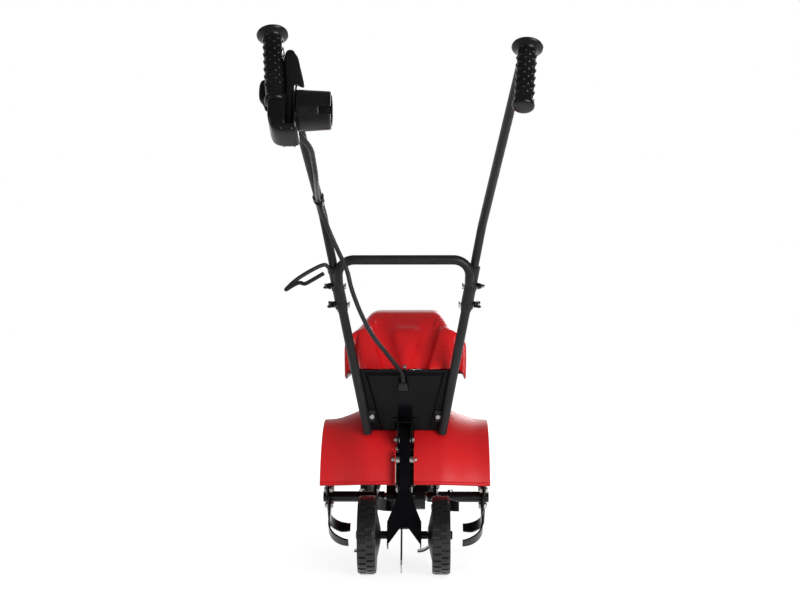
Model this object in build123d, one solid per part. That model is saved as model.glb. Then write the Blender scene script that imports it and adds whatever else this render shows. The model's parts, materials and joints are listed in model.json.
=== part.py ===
# Electric garden tiller: every separate piece as its own solid, millimetres, Z up, +Y is forward.
import os
from math import atan2, cos, degrees, pi, radians, sin, sqrt, tan

from build123d import *

# Tine shaft: height over the ground, and how far it lies ahead of the origin.
SHAFT_Z = 134.5
SHAFT_Y = 345.0

# Tines
TINE_R = 134.5
OUTER_STAR_X = 187.0
INNER_STAR_X = 72.0
BLADE_T = 4.0
BLADE_W = 28.0
HUB_R = 13.0
HUB_END_X = 201.0
FLANGE_R = 37.0
TINE_BOLT_AT = 26.0
CLEVIS_X = 108.0

# Worm drive
MODULE = 2.5
WHEEL_TEETH = 36
WORM_STARTS = 2
WHEEL_R = MODULE * WHEEL_TEETH / 2
WORM_R = 14.0
WORM_Y = WHEEL_R + WORM_R
WORM_LEAD = pi * MODULE * WORM_STARTS
CASE_HALF = 20.0

# Guard
GUARD_Z = 150.0
GUARD_HALF = 197.0
GUARD_GAP = 21.0
GUARD_T = 1.6
GUARD_TOP_R = 200.0
GUARD_REAR_DEG = 12.0
FIN_DEG = 33.0
GUARD_FRONT_DEG = 16.0

# Motor and its base
FLOOR_Z = 354.0
FLOOR_T = 4.0
TUB_HALF = 108.0
TUB_TOP = 430.0
TUB_FRONT = 166.0
MOTOR_R = 66.0
CORE_LOW = 402.0
CORE_TOP = 452.0

# Legs, sleeves and handle bars
LEG_X = 87.0
LEG_Y = -138.0
LEG_Z = 308.0
LEG_DX = 0.1795
LEG_DY = -0.4252
LEG_R = 10.5
LEG_TOP = 626.0
SLEEVE_LOW = 590.0
SLEEVE_TOP = 688.0
SLEEVE_R = 13.6
BAR_R = 9.5
BAR_LOW = 632.0
BEND_Z = 776.0
CORNER_X = 238.0
LEFT_CORNER_X = 232.0
CORNER_Y = -760.0
CORNER_Z = 1103.0
GRIP_DX = -0.0916
GRIP_DY = -0.458
GRIP_DZ = -0.8842
GRIP_R = 18.8
GRIP_LEN = 140.0
GRIP_START = 24.0
GRIP_SINK = 9.0
LEFT_RAISE = 25.0
BRACE_Z = 702.0
LOW_BOLT_Z = 604.0
HIGH_BOLT_Z = 645.0

# Rear panel
PANEL_T = 2.0
PANEL_LOW = 83.0
PANEL_HIGH = 115.5
PANEL_TALL = 153.0
PANEL_RIM = 127.0
PANEL_FIELD = 3.0
PANEL_BOLT = 35.0

# Hood
HOOD_HALF = 145.0
HOOD_LOW = 425.0
HOOD_WALL = 3.0
HOOD_TOP = 589.0
HOOD_BASE = 400.0
HOOD_TAIL_LOW = 455.0
VALLEY_R = 45.0
HOOD_SCREW = (0, -188, 474.5)
HOOD_SCREW_END = (0, -169, 435.5)

# Hitch, strut, fork and wheels
STRUT_Y = -183.0
STRUT_Z = 247.0
STRUT_SLOPE = 0.4355
STRUT_HALF = 11.5
HITCH_Z = 291.0
PIVOT_Z = 185.0
STAKE_X = -6.0
STAKE_SCREW_Z = 119.0
STAKE_TIP_Z = 8.0
AXLE_Y = -255.0
AXLE_Z = 87.0
WHEEL_RAD = 87.0
WHEEL_W = 40.0
WHEEL_X = 82.5
TAB_X = 36.0

# Running clearance of shafts in their bearings
RUN = 0.05

nodes = {}
X_AXIS = Axis((0, 0, GUARD_Z), (-1, 0, 0))


def rod(radius, a, b):
    """Round bar from point a to point b."""
    a = Vector(*a)
    b = Vector(*b)
    run = b - a
    return Plane(a, z_dir=run) * Cylinder(radius, run.length, align=(Align.CENTER, Align.CENTER, Align.MIN))


def ring(outer, inner, a, b):
    """Plain ring from point a to point b."""
    start = Vector(*a)
    end = Vector(*b)
    over = (end - start).normalized()
    return rod(outer, start, end) - rod(inner, start - over, end + over)


def hexbar(flats, a, b):
    """Hexagonal bar from point a to point b, measured over its flats."""
    a = Vector(*a)
    b = Vector(*b)
    run = b - a
    face = Plane(a, z_dir=run) * RegularPolygon(flats / 2, 6, major_radius=False)
    return extrude(face, amount=run.length, dir=run.normalized())


def block(x0, x1, y0, y1, z0, z1):
    """Box between two corners."""
    size = Box(x1 - x0, y1 - y0, z1 - z0)
    return Pos((x0 + x1) / 2, (y0 + y1) / 2, (z0 + z1) / 2) * size


def wire(points, bend, radius):
    """Round bar along straight runs with rounded corners."""
    path = FilletPolyline(*points, radius=bend)
    return sweep(Plane(path @ 0, z_dir=path % 0) * Circle(radius), path=path)


def pipe(points, bend, radius, wall):
    """Tube along straight runs with rounded corners."""
    path = FilletPolyline(*points, radius=bend)
    face = Circle(radius) - Circle(radius - wall)
    return sweep(Plane(path @ 0, z_dir=path % 0) * face, path=path)


def bolt(a, b, radius, flats, head, nut):
    """Hexagon bolt with its head before a, and a nut behind b; two solids."""
    a = Vector(*a)
    b = Vector(*b)
    way = (b - a).normalized()
    shank = rod(radius, a - way * 0.5, b + way * (nut + 2))
    body = shank + hexbar(flats, a - way * head, a)
    collar = hexbar(flats, b, b + way * nut) - rod(radius + RUN, b - way, b + way * (nut + 1))
    return [body, collar]


def screw(a, b, radius, head_r, head):
    """Round-headed screw with its head before a."""
    a = Vector(*a)
    b = Vector(*b)
    way = (b - a).normalized()
    return rod(radius, a - way * 0.5, b) + rod(head_r, a - way * head, a)


def flip(shape):
    """The same piece on the other side."""
    return mirror(shape, about=Plane.YZ)


def put(name, *shapes):
    """Stores one named piece, or a group of equal pieces, moved to its place over the origin."""
    solids = []
    for shape in shapes:
        solids.extend(shape.solids())
    moved = [Pos(0, SHAFT_Y, 0) * solid for solid in solids]
    nodes[name] = moved[0] if len(moved) == 1 else Compound(children=moved)


# Lines that several pieces share
def leg_at(z, side):
    """Point on a leg's axis at a height."""
    rise = z - LEG_Z
    return Vector(side * (LEG_X + LEG_DX * rise), LEG_Y + LEG_DY * rise, z)


LEG_DIR = Vector(LEG_DX, LEG_DY, 1).normalized()
LEG_TILT = sqrt(1 + LEG_DY * LEG_DY)
UP_Y = LEG_DY / LEG_TILT
UP_Z = 1 / LEG_TILT
PANEL = Plane(
    (0, LEG_Y + UP_Z * (LEG_R + 0.1), LEG_Z - UP_Y * (LEG_R + 0.1)),
    x_dir=(1, 0, 0),
    z_dir=(0, -UP_Z, UP_Y),
)
GRIP_DIR = Vector(GRIP_DX, GRIP_DY, GRIP_DZ).normalized()
STRUT_LEN = sqrt(1 + STRUT_SLOPE * STRUT_SLOPE)
BACK = Vector(0, -1 / STRUT_LEN, STRUT_SLOPE / STRUT_LEN)


def strut_at(z):
    """Point on the strut's axis at a height."""
    return Vector(0, STRUT_Y + STRUT_SLOPE * (z - STRUT_Z), z)


STRUT = Plane(strut_at(PIVOT_Z), x_dir=(1, 0, 0), z_dir=BACK)
AXLE = Vector(0, AXLE_Y, AXLE_Z)


# Tine hubs: tube with two welded flanges
def tine_hub():
    tube = rod(HUB_R, (52, 0, SHAFT_Z), (HUB_END_X, 0, SHAFT_Z))
    for star in (INNER_STAR_X, OUTER_STAR_X):
        tube += rod(FLANGE_R, (star - 2, 0, SHAFT_Z), (star + 2, 0, SHAFT_Z))
    tube -= rod(10 + RUN, (50, 0, SHAFT_Z), (HUB_END_X + 2, 0, SHAFT_Z))
    tube -= rod(4.1, (CLEVIS_X, 0, SHAFT_Z - 30), (CLEVIS_X, 0, SHAFT_Z + 30))
    for k in range(4):
        turn = radians(90 * k)
        y = TINE_BOLT_AT * cos(turn)
        z = SHAFT_Z + TINE_BOLT_AT * sin(turn)
        tube -= rod(4.1, (INNER_STAR_X - 5, y, z), (INNER_STAR_X + 5, y, z))
        y = TINE_BOLT_AT * cos(turn + pi / 4)
        z = SHAFT_Z + TINE_BOLT_AT * sin(turn + pi / 4)
        tube -= rod(4.1, (OUTER_STAR_X - 5, y, z), (OUTER_STAR_X + 5, y, z))
    return tube


def bend_arc(place, reach, half, start, side):
    """Arc of the blade's outer or inner face, from the straight part to the tip or back."""
    radius = reach + half * side
    root = place(reach - radius, start)
    mid = place(reach - radius * cos(pi / 4), start + radius * sin(pi / 4))
    end = place(reach, start + radius)
    if side > 0:
        return ThreePointArc(root, mid, end)
    return ThreePointArc(end, mid, root)


# One arm of a blade points up from the shaft and bends sideways at its end
def blade_arm(sense, reach):
    half = BLADE_T / 2
    start = TINE_R - half - reach
    with_x = lambda x, r: (sense * x, 0, r)
    low = Line(with_x(-half, 0), with_x(-half, start))
    turn_out = bend_arc(with_x, reach, half, start, 1)
    tip = Line(with_x(reach, TINE_R), with_x(reach, TINE_R - BLADE_T))
    turn_in = bend_arc(with_x, reach, half, start, -1)
    back = Line(with_x(half, start), with_x(half, 0))
    close = Line(with_x(half, 0), with_x(-half, 0))
    face = make_face([low, turn_out, tip, turn_in, back, close])
    arm = extrude(face, amount=BLADE_W / 2, dir=(0, 1, 0), both=True)
    cut = Polygon(
        (sense * (reach - 26), BLADE_W / 2 + 1),
        (sense * (reach + 1), BLADE_W / 2 + 1),
        (sense * (reach + 1), BLADE_W / 2 - 6),
        align=None,
    )
    return arm - extrude(Pos(0, 0, 60) * cut, amount=90, dir=(0, 0, 1))


def blade(plane_x, first_deg, sense_a, reach_a, sense_b, reach_b):
    """Two opposite arms in one piece, bored for the hub and its two bolts."""
    both = blade_arm(sense_a, reach_a) + Rot(180, 0, 0) * blade_arm(sense_b, reach_b)
    both -= Rot(0, 90, 0) * Cylinder(HUB_R + 0.1, 20)
    for side in (1, -1):
        both -= Pos(0, 0, side * TINE_BOLT_AT) * Rot(0, 90, 0) * Cylinder(4.1, 20)
    return Pos(plane_x, 0, SHAFT_Z) * Rot(first_deg, 0, 0) * both


def star_bolts(plane_x, first_deg, out):
    """Two bolts of one blade; out is +1 when the head lies on the +X side of the flange."""
    pair = []
    for k in (0, 180):
        turn = radians(first_deg + k)
        y = -TINE_BOLT_AT * sin(turn)
        z = SHAFT_Z + TINE_BOLT_AT * cos(turn)
        pair += bolt((plane_x + out * 6, y, z), (plane_x - out * 2, y, z), 4, 13, 5, 6)
    return pair


put("tine_hub_right", tine_hub())
put("tine_hub_left", flip(tine_hub()))
put(
    "outer_blades_right",
    blade(OUTER_STAR_X + 4, 45, -1, 50, -1, 50),
    blade(OUTER_STAR_X - 4, 135, -1, 48, -1, 48),
)
put(
    "outer_blades_left",
    blade(-OUTER_STAR_X - 4, 45, 1, 50, 1, 50),
    blade(-OUTER_STAR_X + 4, 135, 1, 48, 1, 48),
)
put(
    "inner_blades_right",
    blade(INNER_STAR_X - 4, 0, 1, 50, -1, 40),
    blade(INNER_STAR_X + 4, 90, 1, 50, -1, 48),
)
put(
    "inner_blades_left",
    blade(-INNER_STAR_X - 4, 0, 1, 48, -1, 50),
    blade(-INNER_STAR_X + 4, 90, 1, 40, -1, 50),
)
tine_bolts = []
for side in (1, -1):
    tine_bolts += star_bolts(side * OUTER_STAR_X, 45, side)
    tine_bolts += star_bolts(side * OUTER_STAR_X, 135, -side)
tine_bolts += star_bolts(INNER_STAR_X, 0, -1)
tine_bolts += star_bolts(INNER_STAR_X, 90, 1)
tine_bolts += star_bolts(-INNER_STAR_X, 0, -1)
tine_bolts += star_bolts(-INNER_STAR_X, 90, 1)
put("tine_bolts", *tine_bolts)

# Output shaft with the clevis pins that hold the hubs
shaft = rod(10, (-200, 0, SHAFT_Z), (200, 0, SHAFT_Z))
for side in (1, -1):
    shaft -= rod(4.1, (side * CLEVIS_X, 0, SHAFT_Z - 20), (side * CLEVIS_X, 0, SHAFT_Z + 20))
put("output_shaft", shaft)


def clevis(side):
    x = side * CLEVIS_X
    pin = rod(4, (x, 0, SHAFT_Z - 21), (x, 0, SHAFT_Z + 13.5))
    pin += rod(6.5, (x, 0, SHAFT_Z + 13.3), (x, 0, SHAFT_Z + 17))
    return pin - rod(1.4, (x, -8, SHAFT_Z - 17), (x, 8, SHAFT_Z - 17))


def spring_clip(side):
    x = side * CLEVIS_X
    z = SHAFT_Z - 17
    path = ((x, 7, z), (x, -18, z), (x, -24, z - 5), (x, -18, z - 10), (x, -7, z - 6), (x, 7, z - 7))
    return wire(path, 2.4, 1.2)


put("hub_pins", clevis(1), clevis(-1), spring_clip(1), spring_clip(-1))


# Worm wheel: a gap between two teeth faces the worm; the teeth lean with the worm's lead
def worm_wheel():
    lean = degrees(atan2(WORM_LEAD, 2 * pi * WORM_R))
    pitch = pi * MODULE
    root_r = WHEEL_R - 1.22 * MODULE
    top_r = WHEEL_R + MODULE
    face = Polygon(
        (-0.36 * pitch, root_r - 1),
        (0.36 * pitch, root_r - 1),
        (0.12 * pitch, top_r),
        (-0.12 * pitch, top_r),
        align=None,
    )
    wheel = Rot(0, 90, 0) * Cylinder(root_r, 16)
    teeth = []
    for k in range(WHEEL_TEETH):
        turn = 360 / WHEEL_TEETH * (k + 0.5)
        tooth = extrude(face, amount=12, both=True)
        tooth = Plane(origin=(0, 0, 0), x_dir=(0, 0, 1), z_dir=(1, 0, 0)) * tooth
        tooth = Rot(0, -lean, 0) * Rot(180, 0, 0) * tooth
        teeth.append(Rot(turn, 0, 0) * tooth)
    wheel = wheel + teeth
    wheel &= Rot(0, 90, 0) * Cylinder(top_r, 16)
    wheel += Rot(0, 90, 0) * Cylinder(17, 24)
    wheel -= Rot(0, 90, 0) * Cylinder(10 + RUN, 40)
    return Pos(0, 0, SHAFT_Z) * wheel


put("worm_wheel", worm_wheel())


# Motor shaft: one long shaft, with the worm cut on its lower end
def motor_shaft():
    half = 24.0
    pitch = pi * MODULE
    path = Helix(pitch=WORM_LEAD, height=2 * half + 2 * WORM_LEAD, radius=WORM_R)
    face = Polygon(
        (-1.3 * MODULE, -0.33 * pitch),
        (MODULE, -0.11 * pitch),
        (MODULE, 0.11 * pitch),
        (-1.3 * MODULE, 0.33 * pitch),
        align=None,
    )
    thread = sweep(Plane(path @ 0, x_dir=(1, 0, 0), z_dir=path % 0) * face, path=path, is_frenet=True)
    thread = Pos(0, 0, -half - WORM_LEAD) * thread
    turn = 270 - 360 * (half + WORM_LEAD) / WORM_LEAD
    worm = Cylinder(WORM_R - 1.2 * MODULE, 2 * half)
    for k in range(WORM_STARTS):
        worm += Rot(0, 0, turn + 360 / WORM_STARTS * k) * thread
    worm &= Cylinder(WORM_R + MODULE + 1, 2 * half)
    worm = Pos(0, WORM_Y, SHAFT_Z) * worm
    worm += rod(7.5, (0, WORM_Y, 86), (0, WORM_Y, 340))
    worm += rod(8.5, (0, WORM_Y, 340), (0, WORM_Y, 524))
    return worm


put("motor_shaft", motor_shaft())


# Gear case: two halves that part at X = 0
def motor_bolt_points():
    turns = [radians(45 + 90 * k) for k in range(4)]
    return [(48 * cos(turn), WORM_Y + 48 * sin(turn)) for turn in turns]


def lug_points():
    return ((-50, 172), (-50, 97), (20, 72), (93, 112), (93, 230), (93, 300), (25, 250), (25, 322))


def gear_case():
    case = rod(60, (0, 0, SHAFT_Z), (CASE_HALF, 0, SHAFT_Z))
    case += rod(31, (0, 0, SHAFT_Z), (47, 0, SHAFT_Z))
    case += block(0, CASE_HALF, WORM_Y - 26, WORM_Y + 26, 80, 350)
    case += rod(56, (0, WORM_Y, 344), (0, WORM_Y, FLOOR_Z))
    for y, z in lug_points():
        case += rod(9, (0, y, z), (CASE_HALF, y, z))
    case &= block(0, 80, -100, 200, 0, 400)
    case -= rod(50, (-1, 0, SHAFT_Z), (12.5, 0, SHAFT_Z))
    case -= rod(21, (0, 0, SHAFT_Z), (33, 0, SHAFT_Z))
    case -= rod(10.6, (0, 0, SHAFT_Z), (60, 0, SHAFT_Z))
    case -= rod(17.5, (0, 0, SHAFT_Z), (60, 0, SHAFT_Z)) & block(39, 60, -40, 40, 50, 220)
    case -= rod(17.5, (0, WORM_Y, 85), (0, WORM_Y, 360))
    for y, z in lug_points():
        case -= rod(2.6, (-1, y, z), (30, y, z))
    for x, y in motor_bolt_points():
        case -= rod(3.1, (x, y, 330), (x, y, 360))
    return case


put("gear_case_right", gear_case())
put("gear_case_left", flip(gear_case()))
case_bolts = []
for y, z in lug_points():
    case_bolts += bolt((CASE_HALF, y, z), (-CASE_HALF, y, z), 2.5, 8, 3.2, 3.6)
for x, y in motor_bolt_points():
    case_bolts += bolt((x, y, 344), (x, y, 377), 3, 10, 4, 5)
put("case_bolts", *case_bolts)
seal = ring(17.5 - RUN, 10 + RUN, (39, 0, SHAFT_Z), (46, 0, SHAFT_Z))
put("shaft_seals", seal, flip(seal))

# Bearings of the output shaft, the worm and the motor
bearing = ring(21 - RUN, 10 + RUN, (21, 0, SHAFT_Z), (33, 0, SHAFT_Z))
bearings = [bearing, flip(bearing)]
for z0, z1 in ((87, 98), (300, 311)):
    bearings.append(ring(17.5 - RUN, 7.5 + RUN, (0, WORM_Y, z0), (0, WORM_Y, z1)))
for z0, z1 in ((363.2, 375), (485, 497.8)):
    bearings.append(ring(20 - RUN, 8.5 + RUN, (0, WORM_Y, z0), (0, WORM_Y, z1)))
put("bearings", *bearings)


# Guard halves: sheet turned about a line over the shaft, with a hem, a side lip and a rear fin
def guard_line(radius):
    """Section of the sheet: level near the middle, then falling to the side."""
    level = Line((GUARD_GAP, radius), (80, radius))
    side = (GUARD_HALF, radius - 28)
    bell = [(80, radius), (109, radius - 5), (134, radius - 15), (160, radius - 24), side]
    return [level, Spline(*bell, tangents=[(1, 0), (1, -0.05)])]


def guard_sheet(lift, deg_from, deg_to):
    outer = guard_line(GUARD_TOP_R + lift)
    inner = guard_line(GUARD_TOP_R + lift - GUARD_T)
    ends = [Line(outer[0] @ 0, inner[0] @ 0), Line(outer[1] @ 1, inner[1] @ 1)]
    return turn_up(make_face(outer + inner + ends), deg_from, deg_to)


def turn_up(face, deg_from, deg_to):
    """Turns a face drawn with x along the shaft and y as radius, from the rear over the top."""
    stand = Plane((0, 0, GUARD_Z), x_dir=(1, 0, 0), z_dir=(0, 0, -1)) * face
    solid = revolve(stand, axis=X_AXIS, revolution_arc=deg_to - deg_from)
    return Pos(0, 0, GUARD_Z) * Rot(-deg_from, 0, 0) * Pos(0, 0, -GUARD_Z) * solid


def flat_ring(x0, x1, r0, r1, deg_from, deg_to):
    face = Pos((x0 + x1) / 2, (r0 + r1) / 2) * Rectangle(x1 - x0, r1 - r0)
    return turn_up(face, deg_from, deg_to)


def guard_half():
    last = 180 - GUARD_FRONT_DEG
    sheet = guard_sheet(0, GUARD_REAR_DEG, last)
    sheet += guard_sheet(GUARD_T, GUARD_REAR_DEG, GUARD_REAR_DEG + 3.4)
    sheet += flat_ring(GUARD_HALF - GUARD_T, GUARD_HALF, 158, 171.5, GUARD_REAR_DEG, last)
    sheet += flat_ring(GUARD_GAP, GUARD_GAP + GUARD_T, 199, 224, GUARD_REAR_DEG, FIN_DEG)
    sheet += flat_ring(GUARD_GAP, GUARD_GAP + GUARD_T, 184, 199.5, FIN_DEG, last)
    at = strut_at(STRUT_Z)
    sheet -= rod(4.1, (0, at.Y, at.Z), (40, at.Y, at.Z))
    sheet -= rod(60, (0, WORM_Y, 300), (0, WORM_Y, 380))
    sheet -= rod(3.1, (80, 0, 330), (80, 0, 370))
    return sheet


put("guard_right", guard_half())
put("guard_left", flip(guard_half()))
# Motor base: open tub whose rear flange lies against the panel
def motor_base():
    plan = Polygon(
        (-TUB_HALF, -100), (-84, -114), (-84, -150), (84, -150), (84, -114), (TUB_HALF, -100),
        (TUB_HALF, TUB_FRONT), (-TUB_HALF, TUB_FRONT), align=None,
    )
    tub = extrude(Pos(0, 0, FLOOR_Z) * plan, amount=FLOOR_T, dir=(0, 0, 1))
    front = TUB_FRONT
    outline = Polygon((-100, FLOOR_Z), (front, FLOOR_Z), (front, TUB_TOP), (-130, TUB_TOP), align=None)
    wall = Pos(TUB_HALF - 2, 0, 0) * extrude(Plane.YZ * outline, amount=2)
    for k in range(6):
        wall -= block(100, 120, -70 + 36 * k, -62 + 36 * k, 376, 412)
    tub += wall
    tub += flip(wall)
    tub += block(-TUB_HALF, TUB_HALF, TUB_FRONT - 2, TUB_FRONT, FLOOR_Z, TUB_TOP)
    for side in (1, -1):
        tub += Pos(side * 60, TUB_FRONT - 1, TUB_TOP) * Box(20, 2, 28)
        tub -= rod(2.3, (side * 60, TUB_FRONT - 9, 436), (side * 60, TUB_FRONT + 9, 436))
    tub += PANEL * Pos(0, 34, -PANEL_T - 1.5) * Box(168, 30, 3)
    tub -= PANEL * Pos(0, 60, -PANEL_T + 25) * Box(400, 400, 50)
    tub -= rod(21, (0, WORM_Y, 340), (0, WORM_Y, 370))
    for x, y in motor_bolt_points():
        tub -= rod(3.1, (x, y, 340), (x, y, 370))
    for side in (1, -1):
        tub -= rod(3.1, (side * 80, 0, 340), (side * 80, 0, 370))
        tub -= PANEL * Pos(side * 77, PANEL_BOLT, 0) * Cylinder(3.6, 40)
    return tub


put("motor_base", motor_base())


# Motor, upright over the worm
def upright(outer, inner, z0, z1):
    return ring(outer, inner, (0, WORM_Y, z0), (0, WORM_Y, z1))


FLOOR = FLOOR_Z + FLOOR_T
shell = upright(MOTOR_R, 9.5, FLOOR, 377) - rod(20, (0, WORM_Y, 363), (0, WORM_Y, 380))
shell += upright(MOTOR_R, 62.1, 376, 482)
for x, y in motor_bolt_points():
    shell -= rod(3.1, (x, y, 340), (x, y, 380))
put("motor_shell", shell)
put("stator_core", upright(62, 34, CORE_LOW, CORE_TOP))
put("stator_windings", upright(57, 38, CORE_LOW - 12, CORE_LOW), upright(57, 38, CORE_TOP, CORE_TOP + 12))
rotor = upright(33.4, 8.5 + RUN, CORE_LOW, CORE_TOP) + upright(30, 8.5 + RUN, CORE_LOW - 6, CORE_TOP + 6)
put("rotor_core", rotor)
upper_bell = upright(MOTOR_R, 9.5, 482, 503) - rod(20, (0, WORM_Y, 480), (0, WORM_Y, 498))
for k in range(8):
    x = 44 * cos(radians(45 * k))
    y = WORM_Y + 44 * sin(radians(45 * k))
    upper_bell -= rod(8, (x, y, 470), (x, y, 510))
put("motor_end_bell_upper", upper_bell)
fan = upright(16, 8.5 + RUN, 505, 523) + upright(58, 15, 505, 507)
vane = block(14, 57, -1, 1, 506, 522)
fan += [Pos(0, WORM_Y, 0) * Rot(0, 0, 40 * k) * vane for k in range(9)]
put("motor_fan", fan)
put("capacitor", rod(20, (76, -66, FLOOR), (76, -66, 430)) + rod(4, (76, -66, 429), (76, -66, 438)))
put("terminal_block", block(-30, 10, -104, -84, FLOOR, 378))


# Rear panel: tray between the legs
def spread(half_low, low, half_high, high):
    """Upright outline that widens towards its top."""
    return Polygon((-half_low, low), (half_low, low), (half_high, high), (-half_high, high), align=None)


def rear_panel():
    tray = extrude(spread(PANEL_LOW, -3, PANEL_HIGH, PANEL_TALL), amount=-PANEL_T)
    tray += extrude(spread(PANEL_LOW, -3, PANEL_HIGH - 5.5, PANEL_RIM), amount=-26)
    hollow = extrude(spread(PANEL_LOW - 2, -4, PANEL_HIGH - 7.5, PANEL_RIM + 1), amount=-30)
    tray -= Pos(0, 0, -PANEL_T) * hollow
    field = loft([spread(57, 0, 92, 148), Pos(0, 0, PANEL_FIELD) * spread(51, 0, 82, 140)])
    tray += field - Pos(0, 10, PANEL_FIELD) * Box(66, 48, 3 * PANEL_FIELD)
    for side in (1, -1):
        tray -= Pos(side * 77, PANEL_BOLT, 0) * Cylinder(3.6, 40)
    tray -= Pos(-3.7, 122, 0) * Cylinder(6.5, 40)
    tray = PANEL * tray + block(-100, 100, -186.5, -162, HOOD_TAIL_LOW - 4.6, HOOD_TAIL_LOW - 2.6)
    tray -= rod(GUARD_TOP_R + 3, (-200, 0, GUARD_Z), (200, 0, GUARD_Z))
    return tray - rod(2.3, HOOD_SCREW, HOOD_SCREW_END)


put("rear_panel", rear_panel())


# Legs: tube closed at its foot, with an ear on the panel
def leg():
    foot = leg_at(LEG_Z - 4, 1)
    top = leg_at(LEG_TOP, 1)
    tube = rod(LEG_R, foot, top) - rod(LEG_R - 1.8, foot + LEG_DIR * 3, top + LEG_DIR * 5)
    ear = PANEL * Pos(81, PANEL_BOLT, 1.5) * Box(22, 30, 3)
    ear -= rod(LEG_R - 0.9, foot, top)
    tube += ear
    tube -= PANEL * Pos(77, PANEL_BOLT, 0) * Cylinder(3.6, 20)
    low = leg_at(LOW_BOLT_Z, 1)
    return tube - rod(3.1, low - Vector(40, 0, 0), low + Vector(40, 0, 0))


put("leg_right", leg())
put("leg_left", flip(leg()))


# Cross brace with its two welded sleeves
def sleeve():
    low = leg_at(SLEEVE_LOW, 1)
    top = leg_at(SLEEVE_TOP, 1)
    outer = rod(SLEEVE_R, low, top)
    on_base = (Align.CENTER, Align.CENTER, Align.MIN)
    tip = Plane(low, z_dir=LEG_DIR) * Cone(LEG_R + 1.2, SLEEVE_R, 16, align=on_base)
    outer = outer - rod(SLEEVE_R + 5, low - LEG_DIR, low + LEG_DIR * 16) + tip
    return outer


def brace():
    end = leg_at(646, 1) + Vector(-3, -14, 0)
    end_up = leg_at(BRACE_Z, 1) + Vector(-12, -14, 0)
    mid_y = end_up.Y
    points = (
        (-end.X, end.Y, end.Z),
        (-end_up.X, mid_y, BRACE_Z),
        (end_up.X, mid_y, BRACE_Z),
        (end.X, end.Y, end.Z),
    )
    tube = pipe(points, 36, LEG_R, 2)
    whole = tube + sleeve() + flip(sleeve())
    for side in (1, -1):
        low = leg_at(SLEEVE_LOW, side)
        lower = leg_at(SLEEVE_LOW - 20, side)
        mid = leg_at(629, side)
        high = leg_at(SLEEVE_TOP + 40, side)
        whole -= rod(LEG_R + RUN, lower, mid)
        whole -= rod(BAR_R + RUN, mid, high)
        for z in (LOW_BOLT_Z, HIGH_BOLT_Z):
            at = leg_at(z, side)
            whole -= rod(3.1, at - Vector(40, 0, 0), at + Vector(40, 0, 0))
    return whole


put("cross_brace", brace())


# Handle bars, the left one drawn further out of its sleeve and turned a little inward
CORNER = Vector(CORNER_X, CORNER_Y, CORNER_Z)
LEFT_CORNER = Vector(LEFT_CORNER_X, CORNER_Y, CORNER_Z)
RAISE = Vector(-LEG_DX, LEG_DY, 1).normalized() * LEFT_RAISE


def bar(corner, past):
    low = leg_at(BAR_LOW, 1)
    bend = leg_at(BEND_Z, 1)
    end = corner + GRIP_DIR * (GRIP_START + GRIP_LEN + past)
    return pipe((low, bend, corner, end), 20, BAR_R, 1.6)


def bolt_hole(side):
    at = leg_at(HIGH_BOLT_Z, side)
    return rod(3.1, at - Vector(40, 0, 0), at + Vector(40, 0, 0))


put("handle_bar_right", bar(CORNER, -6) - bolt_hole(1))
put("handle_bar_left", Pos(RAISE) * flip(bar(LEFT_CORNER, 26)) - bolt_hole(-1))


# Grips: flange, staggered nubs and a flared end
def grip(corner, length, closed):
    start = corner + GRIP_DIR * GRIP_START
    frame = Plane(start, x_dir=(1, 0, 0), z_dir=GRIP_DIR)
    low_r = GRIP_R - 1.2
    outline = Polyline(
        (0, 0), (29.5, 0), (29.5, 5), (20.5, 10), (low_r, 13), (low_r, length - 15), (19.6, length - 10),
        (19.6, length - 4), (15, length), (0, length), close=True,
    )
    body = revolve(Plane.XZ * make_face(outline), axis=Axis.Z)
    nub = Pos(low_r, 0, 0) * Box(2.8, 4.4, 4.4)
    around = 7
    nubs = []
    for row in range(13):
        for k in range(around):
            turn = 360 / around * (k + 0.5 * (row % 2))
            nubs.append(Pos(0, 0, 21 + 8.3 * row) * Rot(0, 0, turn) * nub)
    body = body + nubs
    depth = length - 5.8 if closed else length + 10
    body -= Pos(0, 0, -5) * Cylinder(BAR_R + RUN, depth + 5, align=(Align.CENTER, Align.CENTER, Align.MIN))
    return frame * body


put("grip_right", grip(CORNER, GRIP_LEN, True))
put("grip_left", Pos(RAISE) * flip(grip(LEFT_CORNER, GRIP_LEN + GRIP_SINK, False)))

# Sleeve bolts with wing nuts on the outer side
sleeve_bolts = []
wing_nuts = []
for side in (1, -1):
    for z in (LOW_BOLT_Z, HIGH_BOLT_Z):
        at = leg_at(z, side)
        inner = at + Vector(-side * 15.3, 0, 0)
        outer = at + Vector(side * 15.3, 0, 0)
        sleeve_bolts.append(screw(inner, outer + Vector(side * 14, 0, 0), 3, 6.5, 3.5))
        hub = ring(6, 3.1, outer, outer + Vector(side * 9, 0, 0))
        wing = Pos(outer.X + side * 10, outer.Y, outer.Z) * Box(16, 4.5, 18)
        wing -= rod(3.1, outer, outer + Vector(side * 30, 0, 0))
        wing = wing - Pos(outer.X + side * 18, outer.Y, outer.Z) * Box(10, 6, 6)
        wing_nuts.append(hub + wing)
put("sleeve_bolts", *sleeve_bolts)
put("wing_nuts", *wing_nuts)


# Hood: drawn as three rounded outlines that cut each other, then hollowed
def rounded(points, bends):
    """Face with rounded corners between its first and its last point."""
    return make_face([FilletPolyline(*points, radius=bends), Line(points[-1], points[0])])


def both_sides(points):
    """Points of a right half, followed by those of the left half."""
    return points + [(-x, y) for x, y in reversed(points)]


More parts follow.
